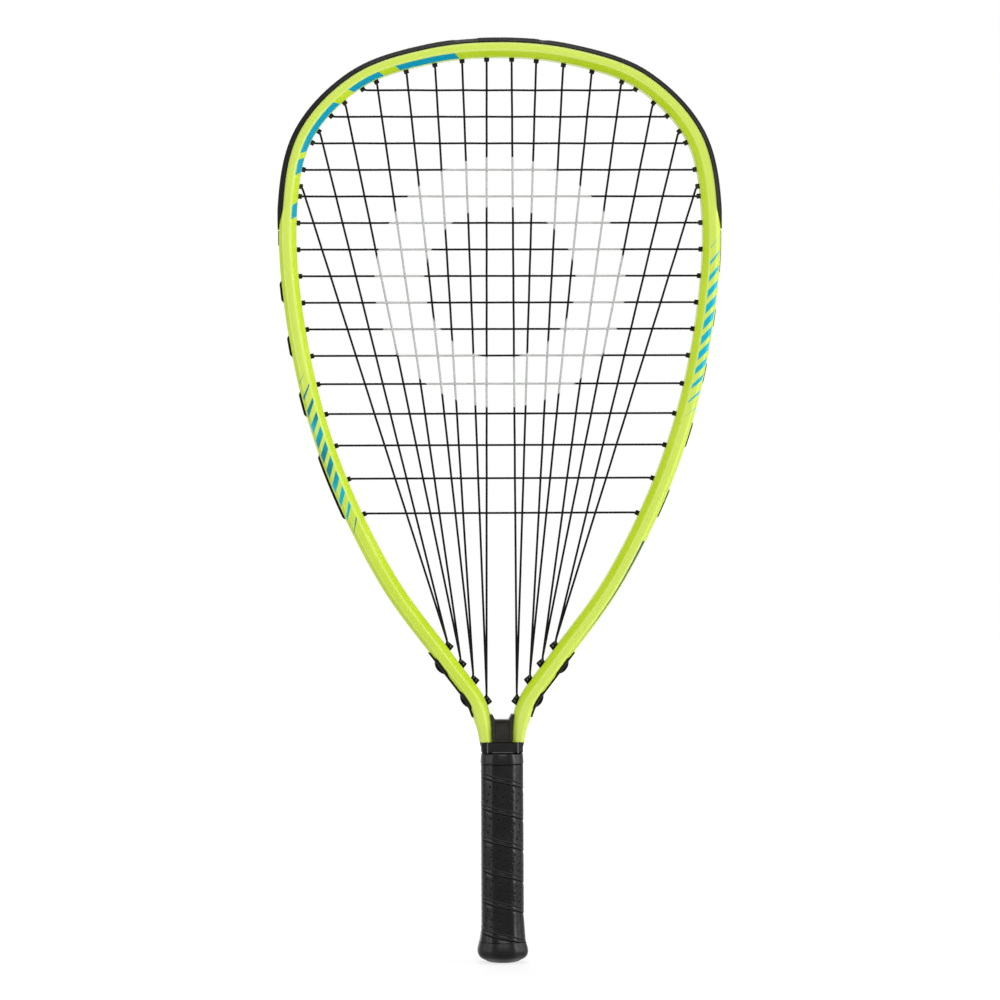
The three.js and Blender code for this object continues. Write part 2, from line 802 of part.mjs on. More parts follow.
// One side of the mains, from the tied end at the head to the innermost string's hole
function mainsOfSide(side) {
  const indexOf = (rank) => (side < 0 ? rank : MAIN_COUNT - 1 - rank);
  const places = (rank) => mainPlaces(indexOf(rank));
  const route = [onTube(places(MAIN_LACING[0][0]).headS - side * TAIL, LINK_HEIGHT, 0)];
  MAIN_LACING.forEach(([down, up], i) => {
    const { throatS, lane } = places(down);
    route.push(...mainRun(indexOf(down)));
    route.push(...wrapLobe(throatS, places(up).throatS, lane));
    route.push(...mainRun(indexOf(up)).reverse());
    if (i + 1 < MAIN_LACING.length) {
      const next = MAIN_LACING[i + 1][0];
      route.push(...link(places(up).headS, places(next).headS, MAIN_LINK_LANE));
    }
  });
  return route;
}

function mainRoute() {
  const inner = mainHoles[0];
  return [...mainsOfSide(-1), ...link(-inner, inner, 0), ...mainsOfSide(1).reverse()];
}

function crossRun(row) {
  const s = crossHoles[row];
  const height = crossHeights[row];
  const woven = [];
  for (const index of range(MAIN_COUNT)) {
    const { headS, throatS, lane } = mainPlaces(index);
    const top = onTube(headS, STRING_BEND, 0);
    const bottom = throatBend(throatS, lane);
    if (height < top.z) {
      const point = top.clone().lerp(bottom, (top.z - height) / (top.z - bottom.z));
      woven.push(new THREE.Vector3(point.x, -weaveSign(index, row) * WEAVE, height));
    }
  }
  return [headExit(-s), onTube(-s, STRING_BEND, 0), ...woven, onTube(s, STRING_BEND, 0), headExit(s)];
}

function crossRoute() {
  const route = [onTube(-crossHoles[0] - TAIL, LINK_HEIGHT, 0)];
  for (const row of range(CROSS_COUNT)) {
    const toRight = row % 2 === 0;
    const side = toRight ? 1 : -1;
    const run = crossRun(row);
    route.push(...(toRight ? run : run.reverse()));
    if (row < CROSS_COUNT - 1) {
      const lane = row + 1 < CROSSES_ON_BUMPER ? CROSS_LINK_LANE : 0;
      route.push(...link(side * crossHoles[row], side * crossHoles[row + 1], lane));
    }
  }
  route.push(onTube(-crossHoles.at(-1) - TAIL, LINK_HEIGHT, 0));
  return route;
}

// Handle

function standsOut(height) {
  const points = BUTT_FLARE;
  if (height >= points.at(-1)[0]) {
    return points.at(-1)[1];
  }
  const next = points.findIndex(([z]) => z > height);
  const [z0, a] = points[next - 1];
  const [z1, b] = points[next];
  return a + (b - a) * (height - z0) / (z1 - z0);
}

// The handle's octagon moved out by an offset, from the front facet's right end, anticlockwise
function octagon(offset) {
  const halfWidth = HANDLE_HALF_WIDTH + offset;
  const halfDepth = HANDLE_HALF_DEPTH + offset;
  const front = FRONT_FACET_HALF + CORNER_SHIFT * offset;
  const side = SIDE_FACET_HALF + CORNER_SHIFT * offset;
  return [
    [front, -halfDepth],
    [halfWidth, -side],
    [halfWidth, side],
    [front, halfDepth],
    [-front, halfDepth],
    [-halfWidth, side],
    [-halfWidth, -side],
    [-front, -halfDepth],
  ];
}

// Which corner of an outline the point u, v is
function cornerAt(outline, u, v) {
  return outline.findIndex(([x, y]) => Math.hypot(x - u, y - v) < SAME_PLACE);
}

function prism(outline, bottom, top) {
  const shape = new THREE.Shape(outline.map(([x, y]) => new THREE.Vector2(x, y)));
  const geometry = new THREE.ExtrudeGeometry(shape, { depth: top - bottom, bevelEnabled: false });
  return solidOf(geometry.translate(0, 0, bottom));
}

function block(width, depth, height, x, y, z) {
  return solidOf(new THREE.BoxGeometry(width, depth, height).translate(x, y, z));
}

// Room for the tube, from the throat down to just past the shafts' ends
function roomForTube(side) {
  const stations = stationsBetween(sAtHeight(TUBE_ROOM_TOP, 0), TUBE_END);
  const section = mirrored(TUBE_WITH_ROOM);
  return solidOf(sweep(section, null, stations.length, (u, w, ring) => {
    const point = onTube(side * stations[ring], u, w);
    if (ring === stations.length - 1) {
      point.z -= CHANNEL_DEPTH;
    }
    return point;
  }));
}

// A staple, or with room the space that holds it
function staple(side, room) {
  const wire = STAPLE_WIRE + 2 * room;
  const crownX = side * (STAPLE_OUTSIDE - STAPLE_WIRE / 2);
  const legX = side * (STAPLE_OUTSIDE - STAPLE_LEG / 2);
  const legY = (STAPLE_CROWN - STAPLE_WIRE) / 2;
  const crown = block(wire, STAPLE_CROWN + 2 * room, wire, crownX, 0, STAPLE_HEIGHT);
  const legs = [-legY, legY].map((y) => block(STAPLE_LEG + 2 * room, wire, wire, legX, y, STAPLE_HEIGHT));
  return joined([crown, ...legs]);
}

const tubeRoom = [roomForTube(-1), roomForTube(1)];
const stapleRoom = [staple(-1, GAP), staple(1, GAP)];

function pallet(side) {
  const grip = prism(octagon(PALLET_INSET), PALLET_NECK_TOP, PALLET_TOP);
  const neck = prism(octagon(PALLET_NECK_INSET), PALLET_BOTTOM, PALLET_NECK_TOP + CUT_SPARE);
  const reach = 2 * HANDLE_HALF_DEPTH;
  const otherHalf = block(reach, reach, 2 * PALLET_TOP, 0, -side * (reach / 2 - GAP / 2), PALLET_TOP);
  return cut(grip.add(neck), [...tubeRoom, ...stapleRoom, otherHalf]);
}

function buttCap() {
  const flare = BUTT_FLARE.filter(([z]) => z <= CAP_LEDGE);
  const tapered = BUTT_FLARE.filter(([z]) => z >= CAP_LEDGE);
  const underTape = tapered.map(([z, out]) => [z, out + PALLET_INSET]);
  const rings = [...flare, ...underTape, [CAP_SLEEVE_TOP, PALLET_INSET]];
  const body = solidOf(sweep(octagon(0), null, rings.length, (u, v, ring) => {
    const [z, out] = rings[ring];
    const [x, y] = octagon(out)[cornerAt(octagon(0), u, v)];
    return new THREE.Vector3(x, y, z);
  }));
  const cavity = prism(octagon(CAP_CAVITY_INSET), CAP_CAVITY_FLOOR, CAP_SLEEVE_TOP + CUT_SPARE);
  const lanyardHoles = [-1, 1].map((side) => {
    const length = CAP_CAVITY_FLOOR + 2 * CUT_SPARE;
    const hole = new THREE.CylinderGeometry(LANYARD_HOLE_RADIUS, LANYARD_HOLE_RADIUS, length, CORNERS);
    hole.rotateX(Math.PI / 2).rotateZ(Math.PI / CORNERS);
    return solidOf(hole.translate(0, side * LANYARD_HOLE_OFFSET, CAP_CAVITY_FLOOR / 2));
  });
  return cut(body, [cavity, ...lanyardHoles, ...stapleRoom]);
}

// Grip tape

// Lengths along the octagon from its first corner, going clockwise seen from above
function clockwiseLengths() {
  const corners = octagon(0);
  const lengths = [0];
  for (const i of range(CORNERS)) {
    const [x0, y0] = corners[(CORNERS - i) % CORNERS];
    const [x1, y1] = corners[CORNERS - 1 - i];
    lengths.push(lengths.at(-1) + Math.hypot(x1 - x0, y1 - y0));
  }
  return lengths;
}

// The tape's two edges at each corner that it passes, from the bottom up
function tapeRails() {
  const lengths = clockwiseLengths();
  const rails = [];
  const width = TAPE_PITCH - TAPE_SEAM;
  const start = TAPE_BOTTOM + TAPE_TIP - width;
  for (let step = 0; ; step += 1) {
    const turn = Math.floor(step / CORNERS) + lengths[step % CORNERS] / lengths[CORNERS];
    const low = start + TAPE_PITCH * turn;
    if (low > TAPE_TOP - TAPE_TIP) {
      return rails;
    }
    const bottom = Math.max(low, TAPE_BOTTOM);
    const top = Math.min(low + width, TAPE_TOP);
    rails.push({ corner: (CORNERS - step % CORNERS) % CORNERS, bottom, top });
  }
}

function tapePoint(rail, share, inset) {
  const z = THREE.MathUtils.lerp(rail.bottom, rail.top, share);
  const [x, y] = octagon(standsOut(z) + inset)[rail.corner];
  return new THREE.Vector3(x, y, z);
}

const rails = tapeRails();

function gripTape() {
  const edge = shares(2);
  const section = [...edge.map((v) => [0, v]), ...edge.reverse().map((v) => [1, v])];
  const place = (u, v, ring) => tapePoint(rails[ring], v, -TAPE_THICKNESS * (1 - u));
  return solidOf(sweep(section, null, rails.length, place));
}

function tapeGap() {
  let least = Infinity;
  for (let i = 0; i + CORNERS < rails.length; i += 1) {
    const above = rails[i + CORNERS];
    const next = rails[Math.min(i + CORNERS + 1, rails.length - 1)];
    for (const share of shares(10)) {
      const upper = tapePoint(rails[i], 1, 0).lerp(tapePoint(rails[i + 1], 1, 0), share);
      for (const other of shares(40)) {
        const lower = tapePoint(above, 0, 0).lerp(tapePoint(next, 0, 0), other);
        least = Math.min(least, upper.distanceTo(lower));
      }
    }
  }
  return least;
}

// Collar and throat bridge

// A quarter outline, from the front edge to the side, repeated in all four quarters
function fourfold(quarter) {
  const right = [...quarter, ...quarter.map(([x, y]) => [x, -y]).reverse()];
  return [...right, ...right.map(([x, y]) => [-x, y]).reverse()];
}

function gripCollar() {
  const base = octagon(COLLAR_BOTTOM_STAND);
  const ring = solidOf(sweep(base, null, COLLAR_STEPS + 1, (u, v, step) => {
    const share = step / COLLAR_STEPS;
    const x = u + Math.sign(u) * COLLAR_TOP_INSET[0] * share ** 2;
    const y = v + Math.sign(v) * COLLAR_TOP_INSET[1] * share ** 2;
    return new THREE.Vector3(x, y, THREE.MathUtils.lerp(COLLAR_BOTTOM, COLLAR_TOP, share));
  }));
  const bore = prism(fourfold(COLLAR_BORE), COLLAR_BOTTOM - CUT_SPARE, COLLAR_TOP + CUT_SPARE);
  return ring.subtract(bore);
}

function throatBridge() {
  const otherHalf = BRIDGE_HALF_OUTLINE.map(([x, z]) => [-x, z]).reverse();
  const outline = [...BRIDGE_HALF_OUTLINE, ...otherHalf];
  const shape = new THREE.Shape(outline.map(([x, z]) => new THREE.Vector2(x, z)));
  const web = new THREE.ExtrudeGeometry(shape, { depth: 2 * BRIDGE_HALF_DEPTH, bevelEnabled: false });
  web.rotateX(Math.PI / 2).translate(0, BRIDGE_HALF_DEPTH, 0);
  const apronBottom = COLLAR_TOP + GAP;
  const core = prism(fourfold(CORE_PLAN), BRIDGE_BOTTOM, apronBottom + CUT_SPARE);
  const low = fourfold(APRON_BOTTOM_PLAN);
  const high = fourfold(APRON_TOP_PLAN);
  const apron = solidOf(sweep(low, null, 2, (u, v, ring) => {
    const [x, y] = [low, high][ring][cornerAt(low, u, v)];
    return new THREE.Vector3(x, y, [apronBottom, APRON_TOP][ring]);
  }));
  const [width, height, depth] = RECESS_SIZE;
  const faces = [-BRIDGE_HALF_DEPTH, BRIDGE_HALF_DEPTH];
  const recesses = faces.map((y) => block(width, 2 * depth, height, 0, y, RECESS_HEIGHT));
  return cut(joined([solidOf(web), core, apron]), [...tubeRoom, ...recesses]);
}

// Assembly

const racket = new THREE.Group();
racket.position.z = -ORIGIN_HEIGHT;

function add(name, solid, material) {
  const mesh = new THREE.Mesh(geometryOf(solid), material);
  mesh.name = name;
  racket.add(mesh);
}

const mains = mainRoute();
const crosses = crossRoute();

add("frame_tube", frameTube(), paint);
add("bumper_guard", bumperGuard(), nylon);
add("side_grommet_strip_left", sideStrip(-1, LEFT_LINKS), nylon);
add("side_grommet_strip_right", sideStrip(1, RIGHT_LINKS), nylon);
add("string_guide_left", stringGuide(-1), guideNylon);
add("string_guide_right", stringGuide(1), guideNylon);
throatHoles.forEach((s, i) => {
  add(`throat_grommet_left_${i + 1}`, throatGrommet(-s), guideNylon);
  add(`throat_grommet_right_${i + 1}`, throatGrommet(s), guideNylon);
});
add("main_strings", solidOf(stringTube(mains)), stringGut);
add("cross_strings", solidOf(stringTube(crosses)), stringGut);
add("throat_bridge", throatBridge(), bridgePlastic);
add("handle_pallet_front", pallet(-1), foam);
add("handle_pallet_back", pallet(1), foam);
add("butt_cap", buttCap(), rubber);
add("butt_cap_staple_left", staple(-1, 0), steel);
add("butt_cap_staple_right", staple(1, 0), steel);
add("grip_tape", gripTape(), tapeLeather);
add("grip_collar", gripCollar(), rubber);

console.log(`main string: least gap to itself ${leastGap(mains).toFixed(2)} mm`);
console.log(`cross string: least gap to itself ${leastGap(crosses).toFixed(2)} mm`);
console.log(`grip tape: least gap between turns ${tapeGap().toFixed(2)} mm`);

export default racket;
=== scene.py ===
# Looks of a racquetball racket, built round its CAD model.
# Shapes are worked out in millimetres, with heights from the butt's end, and
# piece() moves them once into the CAD model's frame, in metres.

from collections import namedtuple
from math import asin, pi, radians

import bmesh
import bpy
import numpy as np
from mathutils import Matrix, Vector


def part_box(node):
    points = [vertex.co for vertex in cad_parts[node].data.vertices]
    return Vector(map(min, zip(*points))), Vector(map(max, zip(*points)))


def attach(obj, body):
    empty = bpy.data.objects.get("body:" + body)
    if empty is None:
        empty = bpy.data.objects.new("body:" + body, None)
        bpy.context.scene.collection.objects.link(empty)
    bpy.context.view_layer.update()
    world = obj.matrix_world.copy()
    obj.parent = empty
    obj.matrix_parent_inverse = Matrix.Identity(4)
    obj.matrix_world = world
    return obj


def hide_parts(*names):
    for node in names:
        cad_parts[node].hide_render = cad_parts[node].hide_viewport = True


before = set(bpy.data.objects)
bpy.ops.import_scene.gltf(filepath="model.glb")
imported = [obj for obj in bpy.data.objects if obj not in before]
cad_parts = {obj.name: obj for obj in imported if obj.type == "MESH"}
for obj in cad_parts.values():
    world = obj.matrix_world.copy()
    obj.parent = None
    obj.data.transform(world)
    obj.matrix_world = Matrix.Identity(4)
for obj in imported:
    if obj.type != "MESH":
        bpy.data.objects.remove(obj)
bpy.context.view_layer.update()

BUTT_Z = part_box("butt_cap")[0].z
MM = 0.001

# Frame tube, as in the CAD model: the centreline of the right half, from the head's
# top to the shaft's end, as distance from the racket's axis and height
HALF_CENTRELINE = [
    (0, 552.1), (43, 548), (86, 533), (118.3, 499), (128, 450), (122, 376),
    (103, 303.5), (68.6, 231), (33.5, 182.5), (15.2, 157), (10.9, 143), (9.6, 133),
    (7.5, 126.3), (6.1, 120), (5.7, 112), (5.7, 104), (5.7, 32),
]
# Section, one half: outward from the centreline, front to back
TUBE_HALF = [(-5.3, 5.5), (-1.4, 10), (3.2, 10), (5.3, 6), (5.3, 4), (2.1, 3.2)]
TUBE_ROUNDING = [1.2, 1.3, 1.3, 0.7, 0.45, 0.5]
TUBE_RINGS = 481
CENTRE_STEPS = 400
READING_POINTS = 20001
SHAFT_WIDTH_SHARE = 0.7
SHAFT_DEPTH_SHARE = 0.78
NARROWING = (152, 133)
FLATTENING = (150, 127)
TUBE_INNER_FACE = -5.3
PAINTED_BLACK_BELOW = 133

# String holes
MAIN_ANGLES = [3.8, 11.2, 19.3, 27.7, 36.3, 46.5, 56.7, 72.1]
HEAD_MIDDLE_HEIGHT = 430.5
THROAT_GROMMET_HEIGHTS = [190.9, 180.3, 170.4, 157.8]
THROAT_READING = TUBE_INNER_FACE - 1.5
BARREL_END = -7.9
STRING_BEND = BARREL_END + 1
CROSS_COUNT = 16
TOP_CROSS_HEIGHT = 527.2
CROSS_PITCH = 16.05
EVEN_CROSSES = 10

# Strings
STRING_RADIUS = 0.66
STRING_SIDES = 10
STRING_STEP = 1.0
STRING_SOFTENING = 3
WEAVE = 0.72
LINK_HEIGHT = 4.3
MAIN_LINK_LANE = -1.45
CROSS_LINK_LANE = 1.45
LINK_RUN_IN = 4
LINK_STEP = 3
TAIL = 4
THROAT_LANE = 0.83
# A main enters its throat grommet this far up the tube from the hole and above the tube's
# face, and leaves it this far above the strap
MOUTH_BACK = 2.4
MOUTH_DROP = 1.7
EXIT_CLEARANCE = 0.3
# Ranks from the outside: down the first of a pair, round a lobe and up the second
MAIN_LACING = [(2, 0), (1, 3), (4, 6), (5, 7)]
LOBE_STRING_RADIUS = 5.2
LOBE_TURN = (160, 20)
LOBE_TURN_POINTS = 15

# Bumper guard, one half of its section: outside from the middle to the lip, then inside
BUMPER_HALF = [
    (3.3, 2.35), (6.69, 3.1), (6.69, 6.27), (3.95, 10.3),
    (3.3, 9.6), (5.6, 6.1), (5.6, 3.7), (2.4, 2.9),
]
BUMPER_ROUNDING = [0.4, 0.7, 0.9, 0.35, 0.3, 0.3, 0.3, 0.3]
BUMPER_EDGE = (5.6, 6.1)
BUMPER_TOP = 6.7
BUMPER_END_HEIGHT = 443
BUMPER_TAPER = (-2, 14)
BUMPER_END_DROP = 0.7
BUMPER_NOTCHES = [(-26, -14), (24, 27)]
NOTCH_DEPTH = 0.35
NOTCH_RAMP = 1.5
BUMPER_RINGS = 361

# Side strips: one half of the channel, which is raised beside the links
STRIP_HALF = [(2.4, 2.9), (3.9, 3.2), (3.9, 2.6), (3.2, 2.3)]
STRIP_TOP = 3.2
STRIP_LOW_WALL = 3.9
STRIP_WALL_RISE = 2.7
STRIP_START_GAP = 1
STRIP_END_MARGIN = 6
STRIP_LINK_MARGIN = 3.8
STRIP_RAMP = 4.4
STRIP_ROUNDING = 0.22
STRIP_RINGS = 421
# First and last cross row between which the walls are raised, and how far of the full rise
LEFT_RAISED = [(5, 6, 0.68), (7, 8, 1), (9, 10, 1), (11, 12, 1), (13, 15, 1)]
RIGHT_RAISED = [(5, 7, 0.74), (8, 9, 0.75), (10, 11, 0.75), (12, 13, 0.85), (14, 15, 0.85)]

# Grommet barrels, square: half width, and how far outward from the centreline
BARREL_PROFILE = [
    (1.25, 2.8), (1.25, -5.0), (1.5, -5.1), (1.5, -7.2),
    (1.4, -7.45), (1.2, -7.55), (0.85, -7.55), (0.75, -7.4), (0.75, -6.9),
]
BARREL_ROUNDING = 0.3

# String guides at the throat
STRAP_HALF = [(3.2, 2.7), (2.4, 2.7)]
STRAP_BEFORE = 4.6
STRAP_AFTER = 6
STRAP_ROUNDING = 0.25
GUIDE_RINGS = 121
LOBE_FLOOR = 2.4
LOBE_FOOT = 0.75
LOBE_LIP_FOOT = 3.4
LOBE_FLATNESS = 0.86
LOBE_CHEEK = 6.3
LOBE_HALF = [(4.15, 1.55), (LOBE_CHEEK, 1.8), (LOBE_CHEEK, 2.75), (0, 2.75)]
LOBE_LIP = [(LOBE_CHEEK, 2.5), (LOBE_CHEEK, 4.6), (0, 4.6), (0, 2.5)]
LOBE_ROUNDING = 0.3
LOBE_POINTS = 41
LOBE_LIP_ROUNDING = 0.5
OUTER_EDGE = (5.3, 6)
BEVEL_DIRECTION = (-0.465, 0.885)
# The lip on the outer bevel: where it lies on the tube's outer face, measured from the
# edge, its thickness, and how far it reaches down the bevel, furthest beside a lobe
LIP_ON_FACE = (-1.8, -0.9, 0)
LIP_THICKNESS = 0.8
LIP_THIN = 0.3
LIP_SINK = 0.15
LIP_ROUNDING = 0.18
LIP_REACH = 0.8
LIP_LEAST = 0.1
LIP_BULGE = 1.8
LIP_BULGE_LENGTH = 9
LIP_BULGE_RAMP = 3.5

# Throat grommets: a plate with a wall that rises to the lower end, open at the upper end
GROMMET_LENGTH = 4.6
GROMMET_DEPTH = 5.2
GROMMET_HEIGHTS = (2.3, 3.4)
GROMMET_LEANS = (0.26, 0.55)
GROMMET_PLATE = 1.2
GROMMET_SLOT = 3.5
GROMMET_WALL_END = 0.9
PLATE_FOOT = -0.4
PLATE_SHOULDER = 1.1
PLATE_TOP_SHARE = 0.95
PLATE_ROUNDING = 0.7
WALL_SHOULDER = 0.25
WALL_DRAW_IN = 0.22
WALL_ROUNDING = 0.5
# Highlights painted as pale lines on its front and back, where a rib would catch the light: lengths
# between which each lies, and their heights
RIB_HIGHLIGHTS = [(0.4, 0.9), (-1.5, -1.1)]
RIB_HIGHLIGHT_HEIGHTS = (0.9, 2.3)

# Handle: the octagon over the grip tape, anticlockwise seen from above from the front
# facet's right end, and how each corner moves as the octagon grows
HANDLE_CORNERS = np.array([
    (4.75, -15), (12.75, -6.78), (12.75, 6.78), (4.75, 15),
    (-4.75, 15), (-12.75, 6.78), (-12.75, -6.78), (-4.75, -15),
])
HANDLE_GROWTH = np.array([
    (0.41, -1), (1, -0.41), (1, 0.41), (0.41, 1),
    (-0.41, 1), (-1, 0.41), (-1, -0.41), (-0.41, -1),
])
HANDLE_ROUNDING = 3.2
# Butt cap: height, and how far the surface stands out from the handle's octagon
BUTT_FLARE = [
    (0, -5.2), (0.5, -3.6), (1.6, -1.4), (2.7, 0.5), (4.2, 1.8), (6.5, 2.39),
    (9.5, 2), (12.1, 1.3), (16, 0.6), (22, 0), (26, 0),
]
CAP_LEDGE = 12.1
SLEEVE_INSET = -2
SLEEVE_TOP = 30
CAVITY_INSET = -3.9
CAVITY_FLOOR = 6
LANYARD_HOLE_RADIUS = 3.2
LANYARD_HOLE_OFFSET = 6.4
FLOOR_POINTS = 16

# Grip tape: an overlapped helix that falls from left to right on the front.
# Section: height in the band, and how far it stands out from the octagon
TAPE_PITCH = 18.8
TAPE_BOTTOM = 12.4
TAPE_TOP = 119.3
TAPE_FIRST_EDGE = -4.8
TAPE_SECTION = [
    (0.05, -0.8), (0, -0.25), (0.5, 0.1), (1.5, 0.04), (2.05, -0.2), (2.7, 0),
    (16.4, 0), (18.1, -0.22), (18.9, -0.85), (21.2, -0.9), (21.2, -1.7), (2.8, -1.7), (2.5, -1.0),
]
TAPE_ROUNDING = 0.2
TAPE_END_GAP = 1
# The octagon's point at which the helix starts, counted clockwise
TAPE_START = 3

COLLAR_BOTTOM = 119.6
COLLAR_TOP = 126.3
COLLAR_STAND = 0.15
COLLAR_TOP_INSET = (0.4, 0.8)
COLLAR_EDGE = 0.6

# Throat bridge
APRON_BOTTOM = 126.5
APRON_TOP = 133
APRON_BOTTOM_PLAN = [(9, 11.6), (12.4, 8.2)]
APRON_TOP_PLAN = [(9.4, 9.8), (12.4, 7)]
APRON_EDGE = 0.7
APRON_ROUNDING = 0.5
WEB_BOTTOM = 119.9
WEB_TOP = 146.7
WEB_HORN_TOP = 149.9
WEB_HALF_DEPTH = 7
WEB_HALF_WIDTHS = [(119.9, 5.5), (133, 6.1), (140, 6.2), (146.7, 6.9), (149.9, 7.3)]
WEB_HORN_START = (4.1, 5.9)
WEB_EDGE = 1.1
WEB_POINTS = 81
# Share of the web's height past which its rings lie closer together
WEB_FINE_FROM = 0.9
RECESS_HALF_WIDTH = 4
RECESS_HEIGHTS = (134.5, 145)
RECESS_DEPTH = 1.3
RECESS_RAMP = 0.5


# Numbers and curves

def smooth(value, start, end):
    """Rises from 0 at start to 1 at end and is level at both: share squared times (3 - 2 share)."""
    share = np.clip((value - start) / (end - start), 0, 1)
    return share * share * (3 - 2 * share)


def model_z(height):
    """A height in millimetres from the butt's end, as metres in the CAD model's frame."""
    return height * MM + BUTT_Z


def lengths_along(points):
    """The length along a line of points up to each of them."""
    steps = np.linalg.norm(np.diff(points, axis=0), axis=1)
    return np.concatenate([[0], np.cumsum(steps)])


def unit(vectors):
    """Vectors of length 1 along the last axis."""
    return vectors / np.maximum(np.linalg.norm(vectors, axis=-1, keepdims=True), 1e-9)


def curve_through(points, steps):
    """The curve through points: between two of them a cubic in t, whose slopes at its ends
    weigh the neighbouring chords by the square roots of their lengths (Catmull-Rom)."""
    points = np.array(points, float)
    path = np.vstack([2 * points[0] - points[1], points, 2 * points[-1] - points[-2]])
    gaps = np.sqrt(np.linalg.norm(np.diff(path, axis=0), axis=1))[:, None]
    p0, p1, p2, p3 = path[:-3], path[1:-2], path[2:-1], path[3:]
    d0, d1, d2 = gaps[:-2], gaps[1:-1], gaps[2:]
    leaving = d1 * ((p1 - p0) / d0 - (p2 - p0) / (d0 + d1) + (p2 - p1) / d1)
    arriving = d1 * ((p2 - p1) / d1 - (p3 - p1) / (d1 + d2) + (p3 - p2) / d2)
    square = 3 * (p2 - p1) - 2 * leaving - arriving
    cube = 2 * (p1 - p2) + leaving + arriving
    t = (np.arange(steps) / steps)[:, None, None]
    curve = p1 + t * (leaving + t * (square + t * cube))
    return np.vstack([curve.transpose(1, 0, 2).reshape(-1, 2), points[-1:]])


def mirrored(half):
    """A half section closed by its mirror image, front to back."""
    half = np.array(half, float)
    return np.vstack([half, (half * (1, -1))[::-1]])


# A rounded corner takes at most this share of its shorter side, and its outermost points
# lie this many radii from the corner
CORNER_SHARE = 0.34
CORNER_HOLD = 1.35


def rounded(outline, radius, steps=3):
    """Turns each corner of closed outlines, (..., m, 2), into the curve
    corner + radius ((1 - t)^2 back + t^2 on), where back and on point to its neighbours,
    with one more point on each side so that the flats stay flat."""
    outline = np.asarray(outline, float)
    back = np.roll(outline, 1, -2) - outline
    on = np.roll(outline, -1, -2) - outline
    shortest = np.minimum(np.linalg.norm(back, axis=-1), np.linalg.norm(on, axis=-1))
    reach = np.minimum(radius, CORNER_SHARE * shortest)[..., None, None]
    t = np.linspace(0, 1, steps + 1)
    to_back = np.concatenate([[CORNER_HOLD], (1 - t) ** 2, [0]])[:, None]
    to_next = np.concatenate([[0], t ** 2, [CORNER_HOLD]])[:, None]
    turn = to_back * unit(back)[..., None, :] + to_next * unit(on)[..., None, :]
    points = outline[..., None, :] + reach * turn
    return points.reshape(*outline.shape[:-2], -1, 2)


# Places along the frame tube: s is the length along it from the head's top, below
# zero on the left; u is outward from the centreline, and w goes from front to back

HALF = np.array(HALF_CENTRELINE, float)
CENTRE = curve_through(np.vstack([HALF[:0:-1] * (-1, 1), HALF]), CENTRE_STEPS)
RUN = lengths_along(CENTRE)
RUN -= RUN[-1] / 2
FORWARD = unit(np.gradient(CENTRE, RUN, axis=0))
TUBE_END = RUN[-1]


def width_share(height):
    """The tube's width at a height: 1, falling smoothly to the shaft's share."""
    return 1 - (1 - SHAFT_WIDTH_SHARE) * smooth(height, *NARROWING)


def depth_share(height):
    """The tube's depth at a height: 1, falling smoothly to the shaft's share."""
    return 1 - (1 - SHAFT_DEPTH_SHARE) * smooth(height, *FLATTENING)


def along(s):
    """Centreline point and direction at s, as x, height, forward x and forward z."""
    table = np.hstack([CENTRE, FORWARD]).T
    return [np.interp(s, RUN, column) for column in table]


def on_tube(s, u, w, lift=0):
    """The centreline point at s, moved outward by u times the tube's width share plus
    lift, and in depth by w times its depth share."""
    s, u, w = np.broadcast_arrays(np.asarray(s, float), u, w)
    x, z, forward_x, forward_z = along(s)
    reach = u * width_share(z) + lift
    return np.stack([x - forward_z * reach, w * depth_share(z), z + forward_x * reach], -1)


def axes_at(s):
    """Forward, depth and outward directions at each s, (k, 3, 3)."""
    forward_x, forward_z = along(np.atleast_1d(s))[2:]
    none = np.zeros_like(forward_x)
    forward = np.stack([forward_x, none, forward_z], -1)
    depth = np.stack([none, none + 1, none], -1)
    outward = np.stack([-forward_z, none, forward_x], -1)
    return np.stack([forward, depth, outward], 1)


def carried(outline, s):
    """Carries one outline, or one for each s, along the tube: ring i is on_tube(s[i], u, w).
    The marks are s, u and w."""
    outline = np.broadcast_to(outline, (len(s), *np.shape(outline)[-2:]))
    u, w = outline[..., 0], outline[..., 1]
    lengths = np.broadcast_to(s[:, None], u.shape)
    return on_tube(lengths, u, w), np.stack([lengths, u, w], -1)


READING_S = np.linspace(0, TUBE_END, READING_POINTS)


def s_at_height(height, u):
    """The length s on the right at which the point at u has this height."""
    heights = on_tube(READING_S, u, 0)[:, 2]
    return np.interp(height, heights[::-1], READING_S[::-1])


def s_at_angle(degrees, u):
    """The length s at which the point at u is seen at this angle from the head's middle."""
    upper = READING_S[READING_S < TUBE_END / 2]
    points = on_tube(upper, u, 0)
    angles = np.arctan2(points[:, 0], points[:, 2] - HEAD_MIDDLE_HEIGHT)
    return np.interp(np.radians(degrees), angles, upper)


# Surfaces: points and marks in rows of three, with faces of four and of three corners

Surface = namedtuple("Surface", "points fours threes marks")


def triangles_of(surface):
    """Its faces, with each face of four corners cut along a diagonal."""
    fours = surface.fours
    return np.vstack([fours[:, [0, 1, 2]], fours[:, [0, 2, 3]], surface.threes])


def outward(surface):
    """Turns the faces over where the surface's signed volume is below zero."""
    a, b, c = surface.points[triangles_of(surface)].transpose(1, 0, 2)
    if np.einsum("ij,ij->", a, np.cross(b, c)) < 0:
        return surface._replace(fours=surface.fours[:, ::-1], threes=surface.threes[:, ::-1])
    return surface


